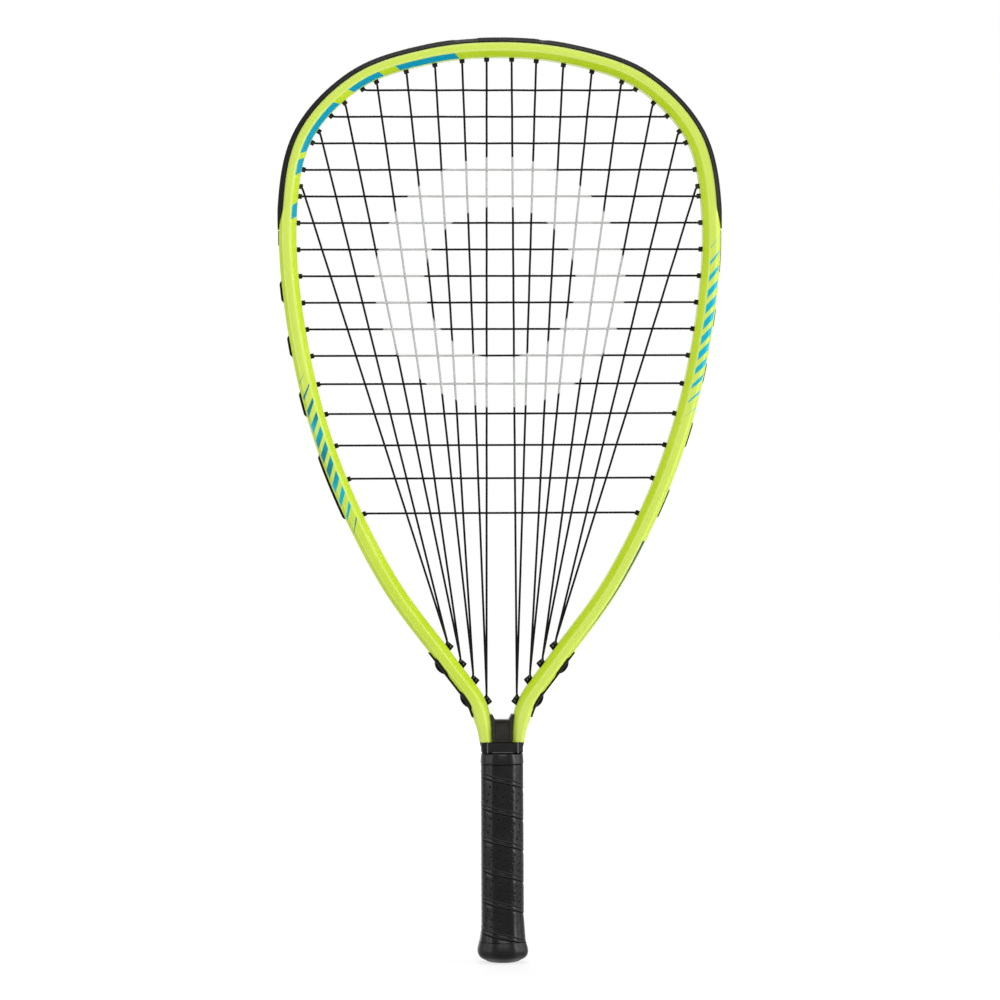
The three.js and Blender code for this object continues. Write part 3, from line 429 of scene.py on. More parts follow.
def skin(rings, marks, ends="zip"):
    """Joins rings of points, (n, m, 3), each point to its neighbours along and round.
    The ends are closed across the ring by "zip", to its middle by "fan", or left "open"."""
    count, around = rings.shape[:2]
    points = rings.reshape(-1, 3)
    marks = np.broadcast_to(marks, rings.shape).reshape(-1, 3)
    here = np.arange(count * around).reshape(count, around)
    near, far = here[:-1], here[1:]
    sides = np.stack([near, np.roll(near, -1, 1), np.roll(far, -1, 1), far], -1)
    fours = [sides.reshape(-1, 4)]
    threes = [np.zeros((0, 3), int)]
    for row in (here[0][::-1], here[-1]):
        if ends == "zip":
            j = np.arange(around // 2 - 1)
            fours.append(np.stack([row[j], row[j + 1], row[-2 - j], row[-1 - j]], -1))
        elif ends == "fan":
            middle = np.full(around, len(points))
            points = np.vstack([points, points[row].mean(0)])
            marks = np.vstack([marks, marks[row].mean(0)])
            threes.append(np.stack([row, np.roll(row, -1), middle], -1))
    surface = Surface(points, np.vstack(fours), np.vstack(threes), marks)
    return surface if ends == "open" else outward(surface)


def gathered(surfaces):
    """Several surfaces as one."""
    starts = np.cumsum([0] + [len(surface.points) for surface in surfaces[:-1]])
    return Surface(
        np.vstack([surface.points for surface in surfaces]),
        np.vstack([surface.fours + start for surface, start in zip(surfaces, starts)]),
        np.vstack([surface.threes + start for surface, start in zip(surfaces, starts)]),
        np.vstack([surface.marks for surface in surfaces]),
    )


def repeated(surface, origins, axes):
    """A copy of the surface at each origin, with its own axes along the given ones."""
    points = origins[:, None, :] + surface.points @ axes
    starts = (np.arange(len(origins)) * len(surface.points))[:, None, None]
    return outward(Surface(
        points.reshape(-1, 3),
        (surface.fours + starts).reshape(-1, 4),
        (surface.threes + starts).reshape(-1, 3),
        np.tile(surface.marks, (len(origins), 1)),
    ))


def merged(mesh):
    """Joins points in the same place and turns the faces outwards."""
    work = bmesh.new()
    work.from_mesh(mesh)
    bmesh.ops.remove_doubles(work, verts=work.verts, dist=2e-6)
    bmesh.ops.recalc_face_normals(work, faces=work.faces)
    work.to_mesh(mesh)
    work.free()


def placed(name, data):
    """A new object in the scene that holds the data."""
    thing = bpy.data.objects.new(name, data)
    bpy.context.scene.collection.objects.link(thing)
    return thing


def piece(name, surface, finish, node, crease=38, merge=False):
    """Makes a surface a smooth mesh in the CAD model's frame, with its marks as the
    attribute "place", and hides the CAD node that it stands for."""
    mesh = bpy.data.meshes.new(name)
    faces = surface.fours.tolist() + surface.threes.tolist()
    mesh.from_pydata(surface.points * MM + (0, 0, BUTT_Z), [], faces)
    place = mesh.attributes.new("place", "FLOAT_VECTOR", "POINT")
    place.data.foreach_set("vector", np.ascontiguousarray(surface.marks, np.float32).ravel())
    if merge:
        merged(mesh)
    mesh.shade_smooth()
    mesh.set_sharp_from_angle(angle=radians(crease))
    mesh.materials.append(finish)
    thing = placed(name, mesh)
    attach(thing, "root")
    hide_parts(node)


def keep_node(name, finish):
    """Gives a CAD node that stays its material."""
    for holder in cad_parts[name].material_slots:
        holder.material = finish


# Finishes

def ink(red, green, blue):
    """A colour of 0 to 255 as the eye sees it, as linear light."""
    share = np.array([red, green, blue]) / 255
    linear = np.where(share < 0.04045, share / 12.92, ((share + 0.055) / 1.055) ** 2.4)
    return (*linear.tolist(), 1)


class Nodes:
    """A node tree, and short ways to add the nodes that vary a look."""

    def __init__(self, tree):
        self.tree = tree

    def give(self, node, inputs):
        """Links each input to a socket, or sets it to a value."""
        for key, value in inputs.items():
            if isinstance(value, bpy.types.NodeSocket):
                self.tree.links.new(value, node.inputs[key])
            else:
                node.inputs[key].default_value = value

    def add(self, kind, inputs=None, output=0, **settings):
        """Adds a node, and gives back one of its outputs."""
        node = self.tree.nodes.new(f"ShaderNode{kind}")
        for key, value in settings.items():
            setattr(node, key, value)
        self.give(node, inputs or {})
        return node.outputs[output]

    def math(self, operation, *values):
        """One step of arithmetic."""
        return self.add("Math", dict(enumerate(values)), operation=operation)

    def product(self, first, *others):
        """All the values multiplied."""
        for other in others:
            first = self.math("MULTIPLY", first, other)
        return first

    def most(self, first, *others):
        """The largest of the values."""
        for other in others:
            first = self.math("MAXIMUM", first, other)
        return first

    def less(self, first, second):
        """The first value minus the second."""
        return self.math("SUBTRACT", first, second)

    def size(self, value):
        """The value without its sign."""
        return self.math("ABSOLUTE", value)

    def distance(self, first, second):
        """The root of the first value squared plus the second squared."""
        squares = [self.math("POWER", value, 2.0) for value in (first, second)]
        return self.math("SQRT", self.math("ADD", *squares))

    def from_middle(self, value, pitch):
        """How far the value is from the middle of its pitch, which repeats from 0."""
        share = self.math("FRACT", self.math("DIVIDE", value, pitch))
        return self.product(self.less(share, 0.5), pitch)

    def ramp(self, value, start, end, low, high, kind="LINEAR"):
        """Runs from low at start to high at end, and is level outside them."""
        inputs = {"Value": value, "From Min": start, "From Max": end, "To Min": low, "To Max": high}
        return self.add("MapRange", inputs, interpolation_type=kind)

    def rise(self, value, start, end):
        """0 before start and 1 past end, also where end is the lower one."""
        return self.ramp(value, start, end, 0, 1, "SMOOTHSTEP")

    def scaled(self, value, low, high):
        """Runs from low to high as the value runs from 0 to 1."""
        return self.ramp(value, 0, 1, low, high)

    def band(self, value, low, high, edge):
        """1 between low and high, with soft edges."""
        up = self.rise(value, low - edge, low + edge)
        down = self.rise(value, high + edge, high - edge)
        return self.product(up, down)

    def noise(self, place, scale, detail=2.0, roughness=0.5):
        """Soft random patches from 0 to 1, smaller for a larger scale."""
        inputs = {"Vector": place, "Scale": scale, "Detail": detail, "Roughness": roughness}
        return self.add("TexNoise", inputs)

    def mix(self, share, first, second):
        """The first colour, turning into the second by the share."""
        return self.add("Mix", {0: share, 6: first, 7: second}, output=2, data_type="RGBA")

    def layered(self, colour, *layers):
        """Lays each layer's tone over the colour, by the layer's share."""
        for share, tone in layers:
            colour = self.mix(share, colour, tone)
        return colour

    def in_metres(self):
        """The place in the CAD model's frame."""
        return self.add("TexCoord", output="Object")

    def place(self):
        """The piece's own marks, in millimetres."""
        return self.add("Attribute", output="Vector", attribute_name="place")

    def apart(self, vector):
        """The three numbers of a vector."""
        node = self.tree.nodes.new("ShaderNodeSeparateXYZ")
        self.tree.links.new(vector, node.inputs[0])
        return node.outputs[:]

    def seen(self):
        """1 for what the camera sees, directly or in a mirror or through glass."""
        path = self.tree.nodes.new("ShaderNodeLightPath").outputs
        rays = ("Is Camera Ray", "Is Glossy Ray", "Is Transmission Ray")
        return self.most(*(path[ray] for ray in rays))


class Finish(Nodes):
    """A material with one Principled shader, and the nodes that vary it."""

    def __init__(self, name, **sockets):
        self.material = bpy.data.materials.new(name)
        self.material.use_nodes = True
        super().__init__(self.material.node_tree)
        self.shader = self.tree.nodes["Principled BSDF"]
        self.give(self.shader, {key.replace("_", " "): value for key, value in sockets.items()})

    def colour(self, value):
        """Sets the surface's colour."""
        self.give(self.shader, {"Base Color": value})

    def roughness(self, value):
        """Sets how rough the surface is, from 0 to 1."""
        self.give(self.shader, {"Roughness": value})

    def bump(self, height, distance, strength=1.0):
        """Raises the surface by height times distance, in metres, on top of earlier bumps."""
        inputs = {"Height": height, "Distance": distance, "Strength": strength}
        earlier = self.shader.inputs["Normal"].links
        if earlier:
            inputs["Normal"] = earlier[0].from_socket
        self.give(self.shader, {"Normal": self.add("Bump", inputs)})


LIME = ink(206, 234, 54)
LIME_DEEP = ink(200, 229, 38)
# A pale sheen painted on the front facet as its reflection, and as light over the neck's shade
SHEEN_LIME = ink(219, 241, 104)
# Highlight lines painted along the front facet's edges
HIGHLIGHT_LIME = ink(234, 247, 160)
# Black paint, also painted as shade on the bumper
BLACK_PAINT_AND_SHADE = ink(7, 7, 7)
# Grey for highlights painted on the apron's edges and on the wedges
HIGHLIGHT_GREY = ink(120, 120, 118)
DASH_BLUE = ink(0, 164, 197)
SKY_BLUE = ink(0, 186, 212)
TEAL = ink(0, 132, 150)
NAVY = ink(20, 50, 96)


def moulded(name, dark, light, gloss=0.45, grain=0.00003, scuff=0.5, shine=0.1, dress=None):
    """Moulded plastic or rubber: patches of two tones, a fine grain, and paler scuffs."""
    finish = Finish(name, Specular_IOR_Level=shine)
    spot = finish.in_metres()
    patches = finish.noise(spot, 90, 4.0, 0.6)
    scuffs = finish.rise(finish.noise(spot, 620, 5.0, 0.7), 0.62, 0.74)
    base = finish.mix(finish.rise(patches, 0.35, 0.65), dark, light)
    pale = tuple(min(1, 1.7 * channel + 0.01) for channel in light[:3]) + (1,)
    colour = finish.mix(finish.product(scuffs, scuff), base, pale)
    finish.colour(dress(finish, spot, colour) if dress else colour)
    finish.roughness(finish.scaled(patches, gloss - 0.08, gloss + 0.12))
    finish.bump(finish.noise(spot, 2600, 3.0), grain)
    finish.bump(finish.noise(spot, 240, 2.0), 3 * grain, 0.6)
    return finish.material


# Highlights painted on the apron's edges, where its bevels would catch the light, in metres:
# beside its front corners, and above its lower end, up to these shares of its width
HIGHLIGHT_CORNER = (-0.0001, 0.0005)
HIGHLIGHT_END = (0.0009, 0.0006)
HIGHLIGHT_SHARES = (0.8, 0.55)


def apron_tones(finish, spot, colour):
    """Black on the apron, with highlights painted as paler lines at its front corners and its lower
    end.
    """
    x, _, z = finish.apart(spot)
    aside = finish.size(x)
    low, high = model_z(APRON_BOTTOM), model_z(APRON_TOP)
    corner = APRON_BOTTOM_PLAN[0][0] * MM
    apron = finish.rise(z, high + BLACK_BLUR, high)
    corners = finish.band(aside, *(corner + edge for edge in HIGHLIGHT_CORNER), 0.0002)
    lower = finish.product(
        finish.rise(z, *(low + edge for edge in HIGHLIGHT_END)),
        finish.rise(aside, *(share * corner for share in HIGHLIGHT_SHARES)),
    )
    # Pale lines painted as highlights on the apron's edges
    painted_highlight = finish.product(finish.most(corners, lower), apron, 0.75)
    return finish.layered(colour, (apron, BLACK_PAINT_AND_SHADE), (painted_highlight, HIGHLIGHT_GREY))


def wedge_tones(finish, _, colour):
    """Two pale lines across the length of a wedge's front and back, painted as highlights."""
    length, depth, height = finish.apart(finish.place())
    side = GROMMET_DEPTH / 2
    outer = finish.rise(finish.size(depth), side - 0.3, side - 0.1)
    # Pale lines painted as highlights, where a rib would catch the light
    rib_highlights = finish.most(*(finish.band(length, *rib, 0.1) for rib in RIB_HIGHLIGHTS))
    high = finish.band(height, *RIB_HIGHLIGHT_HEIGHTS, 0.15)
    return finish.mix(finish.product(rib_highlights, high, outer, 0.7), colour, HIGHLIGHT_GREY)


# Marks between which the bumper is painted with shade: outward, on the sides that turn from the light,
# and along its left shoulder, as if lit from the right
BUMPER_SHADE_FROM = (4.9, 5.6)
BUMPER_SHADE_LEFT = (-60, -170)


def bumper_tones(finish, _, colour):
    """Painted shade: black where the bumper faces outwards, and darker on its left shoulder."""
    s, u, _ = finish.apart(finish.place())
    outer = finish.product(finish.rise(u, *BUMPER_SHADE_FROM), 0.7)
    left = finish.product(finish.rise(s, *BUMPER_SHADE_LEFT), 0.65)
    return finish.mix(finish.most(outer, left), colour, BLACK_PAINT_AND_SHADE)


# Heights between which the front facet's painted sheen, a pale reflection, fades on the left,
# as if lit from the right, by these shares of its tone; heights between which the neck turns to painted
# light over its shade; and the share of that painted light there and on the facet's edges
SHEEN_FADES_LEFT = (330, 270)
SHEEN_SHARES = (0.8, 0.35)
LIT_NECK = (166, 146)
PAINTED_LIGHT_SHARE = 0.6
# The front facet by depth, where the sheen is painted, and its two edges, outward and by depth, where
# highlight lines are painted
FACET_DEPTHS = (9.1, 9.8)
HIGHLIGHT_EDGES = [(-1.5, -0.9), (2.7, 3.2)]
HIGHLIGHT_DEPTHS = (8.6, 9.4)
# The rim beside the groove, where the paint is chipped
RIM = (4.6, 5.2)
# Length over which paint ends: across the tube, at the bars, and in metres at the black
PAINT_BLUR = 0.25
BAR_BLUR = 0.3
BLACK_BLUR = 0.0002

# The inner front bevel, by depth and outward
BEVEL_DEPTHS = (-5.2, -5.6)
BEVEL_OUTER = (-1.7, -2.0)
# Blue dashes on it: distance from the axis and height at each end, read on this line.
# Their ends slant, by the offset where the line is
DASH_LINE = -3.8
DASH_SLANT = 0.8
DASH_OFFSET = -3
DASHES = [
    ((-61.8, 541.3), (-25.5, 547.3)),
    ((-89, 525.5), (-70.9, 535.8)),
    ((-118, 489.2), (-98.8, 519.5)),
    ((-122.3, 476.5), (-118.1, 485)),
    ((-125.5, 449.9), (-122.5, 458.3)),
]


def s_nearest(x, height, u):
    """The length s whose point at u is nearest to x and height."""
    s = np.concatenate([-READING_S[::-1], READING_S])
    points = on_tube(s, u, 0)
    return s[np.argmin(np.hypot(points[:, 0] - x, points[:, 2] - height))]


def dash_share(paint, s, u):
    """1 on the dashes, between two values of s + slant u each."""
    slanted = paint.math("MULTIPLY_ADD", u, DASH_SLANT, s)
    dashes = []
    for ends in DASHES:
        low, high = sorted(s_nearest(x, at, DASH_LINE) + DASH_OFFSET for x, at in ends)
        dashes.append(paint.band(slanted, low, high, PAINT_BLUR))
    return paint.most(*dashes)


# Slanted bars over the front facet and the outer bevel: heights of their upper and lower
# ends on each side, their largest share of a pitch, which they have over a middle stretch
# of half this length, and the soft ends of each bar across the tube
BARS_LEFT = (364, 252)
BARS_RIGHT = (446, 322)
BAR_PITCH = 9.5
BAR_SLANT = 1.4
BAR_MOST = 0.62
BAR_PLATEAU = 12
BAR_ENDS = [(-1.0, -0.8), (4.7, 4.5)]
BAR_EDGE = 0.06
# The bars turn partly teal on the left of the head's top
TEAL_SIDE = (10, -10)


def slanted_bars(paint, s, u, heights, side):
    """Bars across the tube, a share of each pitch along s + slant u. The share grows from 0
    at both ends of the run to its most in the middle."""
    upper, lower = (s_at_height(height, 0) for height in heights)
    from_top = paint.product(s, side)
    middle = (upper + lower) / 2
    grown = paint.product(
        paint.rise(from_top, upper, middle - BAR_PLATEAU),
        paint.rise(from_top, lower, middle + BAR_PLATEAU),
        BAR_MOST,
    )
    across = paint.math("MULTIPLY_ADD", u, BAR_SLANT, s)
    away = paint.product(paint.size(paint.from_middle(across, BAR_PITCH)), 2 / BAR_PITCH)
    inside = paint.rise(paint.less(grown, away), 0, BAR_EDGE)
    run = paint.band(from_top, upper, lower, BAR_BLUR)
    return paint.product(inside, run, *(paint.rise(u, *end) for end in BAR_ENDS))


# A stripe follows them on the right: heights of its ends, its middle line, and its half
# width at each end
STRIPE = (256, 196)
STRIPE_LINE = 4.2
STRIPE_HALF_WIDTHS = (0.75, 0.1)


def thinning_stripe(paint, s, u):
    """A stripe along the outer bevel, whose half width shrinks evenly along s."""
    ends = [s_at_height(height, 0) for height in STRIPE]
    aside = paint.size(paint.less(u, STRIPE_LINE))
    inside = paint.less(paint.ramp(s, *ends, *STRIPE_HALF_WIDTHS), aside)
    return paint.product(paint.rise(inside, 0, 0.1), paint.band(s, *ends, BAR_BLUR))


def frame_finish():
    """Lime gloss paint with blue dashes, slanted bars, a stripe and black paint below, and painted
    light: a sheen on the front facet, highlight lines on its edges, a paler neck.
    """
    paint = Finish("lime frame paint", Coat_Weight=0.2, Coat_Roughness=0.08, Specular_IOR_Level=0.1)
    s, u, w = paint.apart(paint.place())
    spot = paint.in_metres()
    height = paint.apart(spot)[2]
    depth = paint.size(w)
    cloud = paint.rise(paint.noise(spot, 30, 3.0), 0.35, 0.65)
    # Painted sheen on the front facet, standing for a pale reflection, weaker on the lower left
    sheen_fading = paint.rise(s, *(-s_at_height(level, 0) for level in SHEEN_FADES_LEFT))
    facet = paint.product(paint.rise(depth, *FACET_DEPTHS), paint.scaled(sheen_fading, *SHEEN_SHARES))
    # Painted highlight lines along the facet's edges
    edges = paint.most(*(paint.band(u, *edge, PAINT_BLUR) for edge in HIGHLIGHT_EDGES))
    # Painted light over the shade where the arms meet the bridge
    neck = paint.rise(height, *(model_z(level) for level in LIT_NECK))
    bevel = paint.product(paint.rise(w, *BEVEL_DEPTHS), paint.rise(u, *BEVEL_OUTER))
    bars = paint.most(
        slanted_bars(paint, s, u, BARS_LEFT, -1), slanted_bars(paint, s, u, BARS_RIGHT, 1),
    )
    patches = paint.rise(paint.noise(spot, 26, 1.0), 0.4, 0.52)
    teal = paint.product(patches, paint.rise(s, *TEAL_SIDE))
    black_top = model_z(PAINTED_BLACK_BELOW)
    chips = paint.rise(paint.noise(spot, 700, 4.0, 0.65), 0.74, 0.78)
    paint.colour(paint.layered(
        paint.mix(cloud, LIME, LIME_DEEP),
        (facet, SHEEN_LIME),
        (paint.product(edges, paint.rise(depth, *HIGHLIGHT_DEPTHS), PAINTED_LIGHT_SHARE), HIGHLIGHT_LIME),
        (paint.product(neck, PAINTED_LIGHT_SHARE), SHEEN_LIME),
        (paint.product(dash_share(paint, s, u), bevel), DASH_BLUE),
        (bars, paint.mix(teal, SKY_BLUE, TEAL)),
        (thinning_stripe(paint, s, u), NAVY),
        (paint.rise(height, black_top + BLACK_BLUR, black_top - BLACK_BLUR), BLACK_PAINT_AND_SHADE),
        (paint.product(chips, paint.rise(u, *RIM)), BLACK_PAINT_AND_SHADE),
    ))
    paint.roughness(paint.scaled(paint.noise(spot, 160, 3.0), 0.2, 0.32))
    return paint.material


# A plain pale ring is painted on the strings: height of its middle and its two radii, both
# ragged by up to half the raggedness, in metres
RING_HEIGHT = 411
RING_RADII = (46, 76)
RING_RAGGEDNESS = 0.0016
STRING_BLACK = ink(6, 6, 6)
STRING_DARK = ink(10, 10, 10)
RING_PALE = ink(206, 208, 206)
# The string's twist, as radians of the wave for each millimetre and for each radian round
TWIST_ALONG = 3.0
TWIST_ROUND = 4.0


def string_finish():
    """Black string with a fine twist, and the pale ring over the middle of the string bed."""
    string = Finish("black string", Specular_IOR_Level=0.1)
    length, turn, _ = string.apart(string.place())
    spot = string.in_metres()
    x, _, z = string.apart(spot)
    reach = string.distance(x, string.less(z, model_z(RING_HEIGHT)))
    ragged = string.math("MULTIPLY_ADD", string.noise(spot, 900, 2.0), RING_RAGGEDNESS, reach)
    inner, outer = (radius * MM + RING_RAGGEDNESS / 2 for radius in RING_RADII)
    ring = string.band(ragged, inner, outer, RING_RAGGEDNESS / 4)
    worn = string.rise(string.noise(spot, 1400, 4.0, 0.6), 0.3, 0.55)
    base = string.mix(string.noise(spot, 300, 3.0), STRING_BLACK, STRING_DARK)
    shade = string.product(ring, string.scaled(worn, 0.7, 1.0))
    string.colour(string.mix(shade, base, RING_PALE))
    string.roughness(string.scaled(ring, 0.34, 0.6))
    wave = string.math("MULTIPLY_ADD", length, TWIST_ALONG, string.product(turn, TWIST_ROUND))
    string.bump(string.math("SINE", wave), 0.00001, 0.4)
    return string.material


# The tape's holes: rows up the band and slanted columns along it, the heights and lengths
# between which they lie, and the distances over which a hole and the dish round it end
HOLE_ROW_PITCH = 4.5
HOLE_COLUMN_PITCH = 5.0
HOLE_SLANT = 0.25
HOLED_HEIGHTS = (3.2, 16.7)
HOLED_LENGTHS = (93, 500)
HOLE_EDGE = (0.78, 0.58)
DISH_EDGE = (1.0, 0.4)
# Heights in the band of its seam edges, where highlights are painted, of its crease, and of where it
# goes under the next turn, where shadow is painted
TAPE_HIGHLIGHTS = [(0.1, 0.6), (2.7, 3.0)]
CREASE_SHADOW = (1.8, 2.3)
TUCK_SHADOW = (17.6, 18.2)
TAPE_BLUR = 0.2
TAPE_DARK = ink(10, 10, 10)
TAPE_LIGHT = ink(19, 19, 19)
# Tone of the highlights painted on the seam edges
TAPE_HIGHLIGHT_TONE = ink(62, 62, 61)
# Black painted as shade in the holes, the crease and the tuck
SHADE_BLACK = ink(2, 2, 2)


def tape_finish():
    """Perforated leathery tape: rows of holes in each turn painted black as their shade, fine grain,
    highlights painted on the seam edges and shadow in the crease.
    """
    tape = Finish("perforated grip tape", Specular_IOR_Level=0.16)
    length, height, _ = tape.apart(tape.place())
    spot = tape.in_metres()
    grain = tape.noise(spot, 1900, 4.0, 0.6)
    patches = tape.rise(tape.noise(spot, 120, 3.0), 0.35, 0.65)
    # Highlights painted on the seam's raised edges
    painted_highlight = tape.most(*(tape.band(height, *edge, TAPE_BLUR) for edge in TAPE_HIGHLIGHTS))
    # Shadow painted in the crease and where the band goes under the next turn
    crease = tape.most(tape.band(height, *CREASE_SHADOW, TAPE_BLUR), tape.rise(height, *TUCK_SHADOW))
    from_row = tape.from_middle(tape.less(height, HOLED_HEIGHTS[0]), HOLE_ROW_PITCH)
    across = tape.math("MULTIPLY_ADD", height, HOLE_SLANT, length)
    away = tape.distance(from_row, tape.from_middle(across, HOLE_COLUMN_PITCH))
    field = tape.product(
        tape.band(height, *HOLED_HEIGHTS, 0.1), tape.band(length, *HOLED_LENGTHS, 1.0),
    )
    # Holes painted black, as the shade inside them
    hole = tape.product(tape.rise(away, *HOLE_EDGE), field)
    dish = tape.product(tape.rise(away, *DISH_EDGE), field)
    tape.colour(tape.layered(
        tape.mix(patches, TAPE_DARK, TAPE_LIGHT),
        (tape.product(painted_highlight, 0.7), TAPE_HIGHLIGHT_TONE),
        (tape.product(crease, 0.9), SHADE_BLACK),
        (hole, SHADE_BLACK),
    ))
    dull = tape.product(tape.most(hole, tape.product(crease, 0.8)), 0.6)
    tape.roughness(tape.math("ADD", tape.scaled(grain, 0.16, 0.3), dull))
    tape.bump(tape.noise(spot, 260, 2.0, 0.5), 0.00022, 0.5)
    tape.bump(grain, 0.00002, 0.5)
    tape.bump(tape.less(0, dish), 0.0002)
    return tape.material


# Shapes

def frame_surface():
    """The section carried along the whole tube."""
    outline = rounded(mirrored(TUBE_HALF), TUBE_ROUNDING + TUBE_ROUNDING[::-1])
    return skin(*carried(outline, np.linspace(-TUBE_END, TUBE_END, TUBE_RINGS)))


def barrels(holes):
    """A square barrel at each hole: rounded squares of the profile's half width, at its reach."""
    profile = np.array(BARREL_PROFILE)
    square = np.array([(1, 1), (-1, 1), (-1, -1), (1, -1)])
    outlines = rounded(profile[:, :1, None] * square, BARREL_ROUNDING, 2)
    reach = np.broadcast_to(profile[:, 1:, None], (*outlines.shape[:2], 1))
    rings = np.concatenate([outlines, reach], -1)
    template = skin(rings, rings)
    x, z, _, _ = along(holes)
    origins = np.stack([x, 0 * x, z], -1)
    return repeated(template, origins, axes_at(holes))


def window(value, low, high, ramp):
    """1 between low and high, 0 outside, with smooth ramps."""
    return smooth(value, low - ramp, low) * smooth(value, high + ramp, high)


def bumper_surface():
    """A channel carried over the head. Towards its ends the lips draw back to the tube's
    edge by the taper, and the top drops. Two shallow notches break the top."""
    end = s_at_height(BUMPER_END_HEIGHT, 0)
    s = np.linspace(-end, end, BUMPER_RINGS)[:, None]
    full = smooth(end - np.abs(s), *BUMPER_TAPER)
    # The inside comes first, then the outside, so that the ends zip across the wall
    u, w = np.roll(mirrored(BUMPER_HALF), -4, axis=0).T
    edge_u, edge_w = BUMPER_EDGE
    past = np.abs(w) - edge_w
    lapped_u = np.where(past > 0, edge_u + (u - edge_u) * full, u)
    lapped_w = np.where(past > 0, np.sign(w) * (edge_w + past * full), w)
    notch = sum(window(s, *ends, NOTCH_RAMP) for ends in BUMPER_NOTCHES) * NOTCH_DEPTH
    is_top = u > (edge_u + BUMPER_TOP) / 2
    reach = np.where(is_top, u - BUMPER_END_DROP * (1 - full) - notch, lapped_u)
    depth = np.where(is_top, w + 0 * full, lapped_w)
    radii = np.roll(BUMPER_ROUNDING + BUMPER_ROUNDING[::-1], -4)
    outlines = rounded(np.stack([reach, depth], -1), radii, 2)
    holes = np.concatenate([MAIN_HOLES, CROSS_HOLES[:CROSSES_ON_BUMPER]])
    return gathered([skin(*carried(outlines, s[:, 0])), barrels(np.concatenate([-holes, holes]))])


def strip_surface(side, rows):
    """A channel carried along the groove, whose walls rise between the given rows."""
    start = s_at_height(BUMPER_END_HEIGHT, 0) + STRIP_START_GAP
    end = CROSS_HOLES[-1] + STRIP_END_MARGIN
    s = np.linspace(start, end, STRIP_RINGS)[:, None]
    raised = 0 * s
    for first, last, share in rows:
        low = CROSS_HOLES[first] + STRIP_LINK_MARGIN
        high = CROSS_HOLES[last] - STRIP_LINK_MARGIN
        raised += share * window(s, low, high, STRIP_RAMP)
    # The inside comes first, then the outside, so that the ends zip across the wall
    u, w = np.roll(mirrored(STRIP_HALF), -2, axis=0).T
    reach = np.where(u == STRIP_LOW_WALL, u + STRIP_WALL_RISE * raised, u + 0 * raised)
    outlines = rounded(np.stack([reach, w + 0 * raised], -1), STRIP_ROUNDING, 2)
    holes = side * CROSS_HOLES[CROSSES_ON_BUMPER:]
    return gathered([skin(*carried(outlines, side * s[:, 0])), barrels(holes)])


def half_moon(outline, foot, s):
    """A flattened half-round body that stands on the tube at s: the outline's radii and
    depths swept over the angle a, with each radius r kept so that its height, which is the
    flatness times r sin a, is at least the foot."""
    radii, depths = outline[:, 0], outline[:, 1]
    largest = radii.max()
    least = foot / LOBE_FLATNESS
    start = asin(least / largest) + 0.01
    angle = np.linspace(start, pi - start, LOBE_POINTS)[:, None]
    r = np.clip(radii, least / np.sin(angle), largest)
    height = LOBE_FLATNESS * r * np.sin(angle)
    local = np.stack([r * np.cos(angle), depths + 0 * angle, height], -1)
    rings = on_tube(s, LOBE_FLOOR, 0) + local @ axes_at(s)[0]
    return skin(rings, local)


def bevel_lip(side, face, s, reach):
    """A thin flange carried along the tube, from its outer face over the outer edge and down
    the bevel for the given reach. It is thickest at the edge."""
    edge = np.array(OUTER_EDGE)
    down = np.array(BEVEL_DIRECTION)
    normal = np.array([down[1], -down[0]])
    on_face = np.broadcast_to([edge + (0, back) for back in LIP_ON_FACE], (len(s), 3, 2))
    on_bevel = edge + down * reach[:, None, None] * np.array([[0.5], [1]])
    path = np.concatenate([on_face, on_bevel], 1)
    normals = np.array([(1, 0), (1, 0), unit(normal + (1, 0)), normal, normal])
    thickness = np.array([LIP_THIN, LIP_THICKNESS, LIP_THICKNESS, LIP_THICKNESS, LIP_THIN])
    top = path + normals * thickness[:, None]
    outlines = np.concatenate([path - LIP_SINK * normals, top[:, ::-1]], 1) * (1, face)
    return skin(*carried(rounded(outlines, LIP_ROUNDING, 2), side * s))


def guide_surface(side):
    """Strap in the groove, two lobes with a string slot, and lips over the outer bevels
    that reach furthest at the lobes."""
    start = THROAT_HOLES[0] - STRAP_BEFORE
    end = THROAT_HOLES[3] + STRAP_AFTER
    s = np.linspace(start, end, GUIDE_RINGS)
    lobes = (THROAT_HOLES[::2] + THROAT_HOLES[1::2]) / 2
    half = LIP_BULGE_LENGTH / 2
    bulge = sum(window(s, middle - half, middle + half, LIP_BULGE_RAMP) for middle in lobes)
    ends = smooth(s, start - 1, start + 2) * smooth(s, end + 1, end - 2)
    reach = (LIP_REACH + LIP_BULGE * bulge) * ends + LIP_LEAST
    parts = [skin(*carried(rounded(mirrored(STRAP_HALF), STRAP_ROUNDING, 2), side * s))]
    for middle in lobes:
        body = rounded(mirrored(LOBE_HALF), LOBE_ROUNDING, 2)
        parts.append(half_moon(body, LOBE_FOOT, side * middle))
        for face in (-1, 1):
            lip = rounded(np.array(LOBE_LIP) * (1, face), LOBE_LIP_ROUNDING, 2)
            parts.append(half_moon(lip, LOBE_LIP_FOOT, side * middle))
    parts += [bevel_lip(side, face, s, reach) for face in (-1, 1)]
    return gathered(parts)


def lifted(outline, heights):
    """A flat outline with one height, or with one for each point."""
    return np.column_stack([outline, np.broadcast_to(heights, len(outline))])


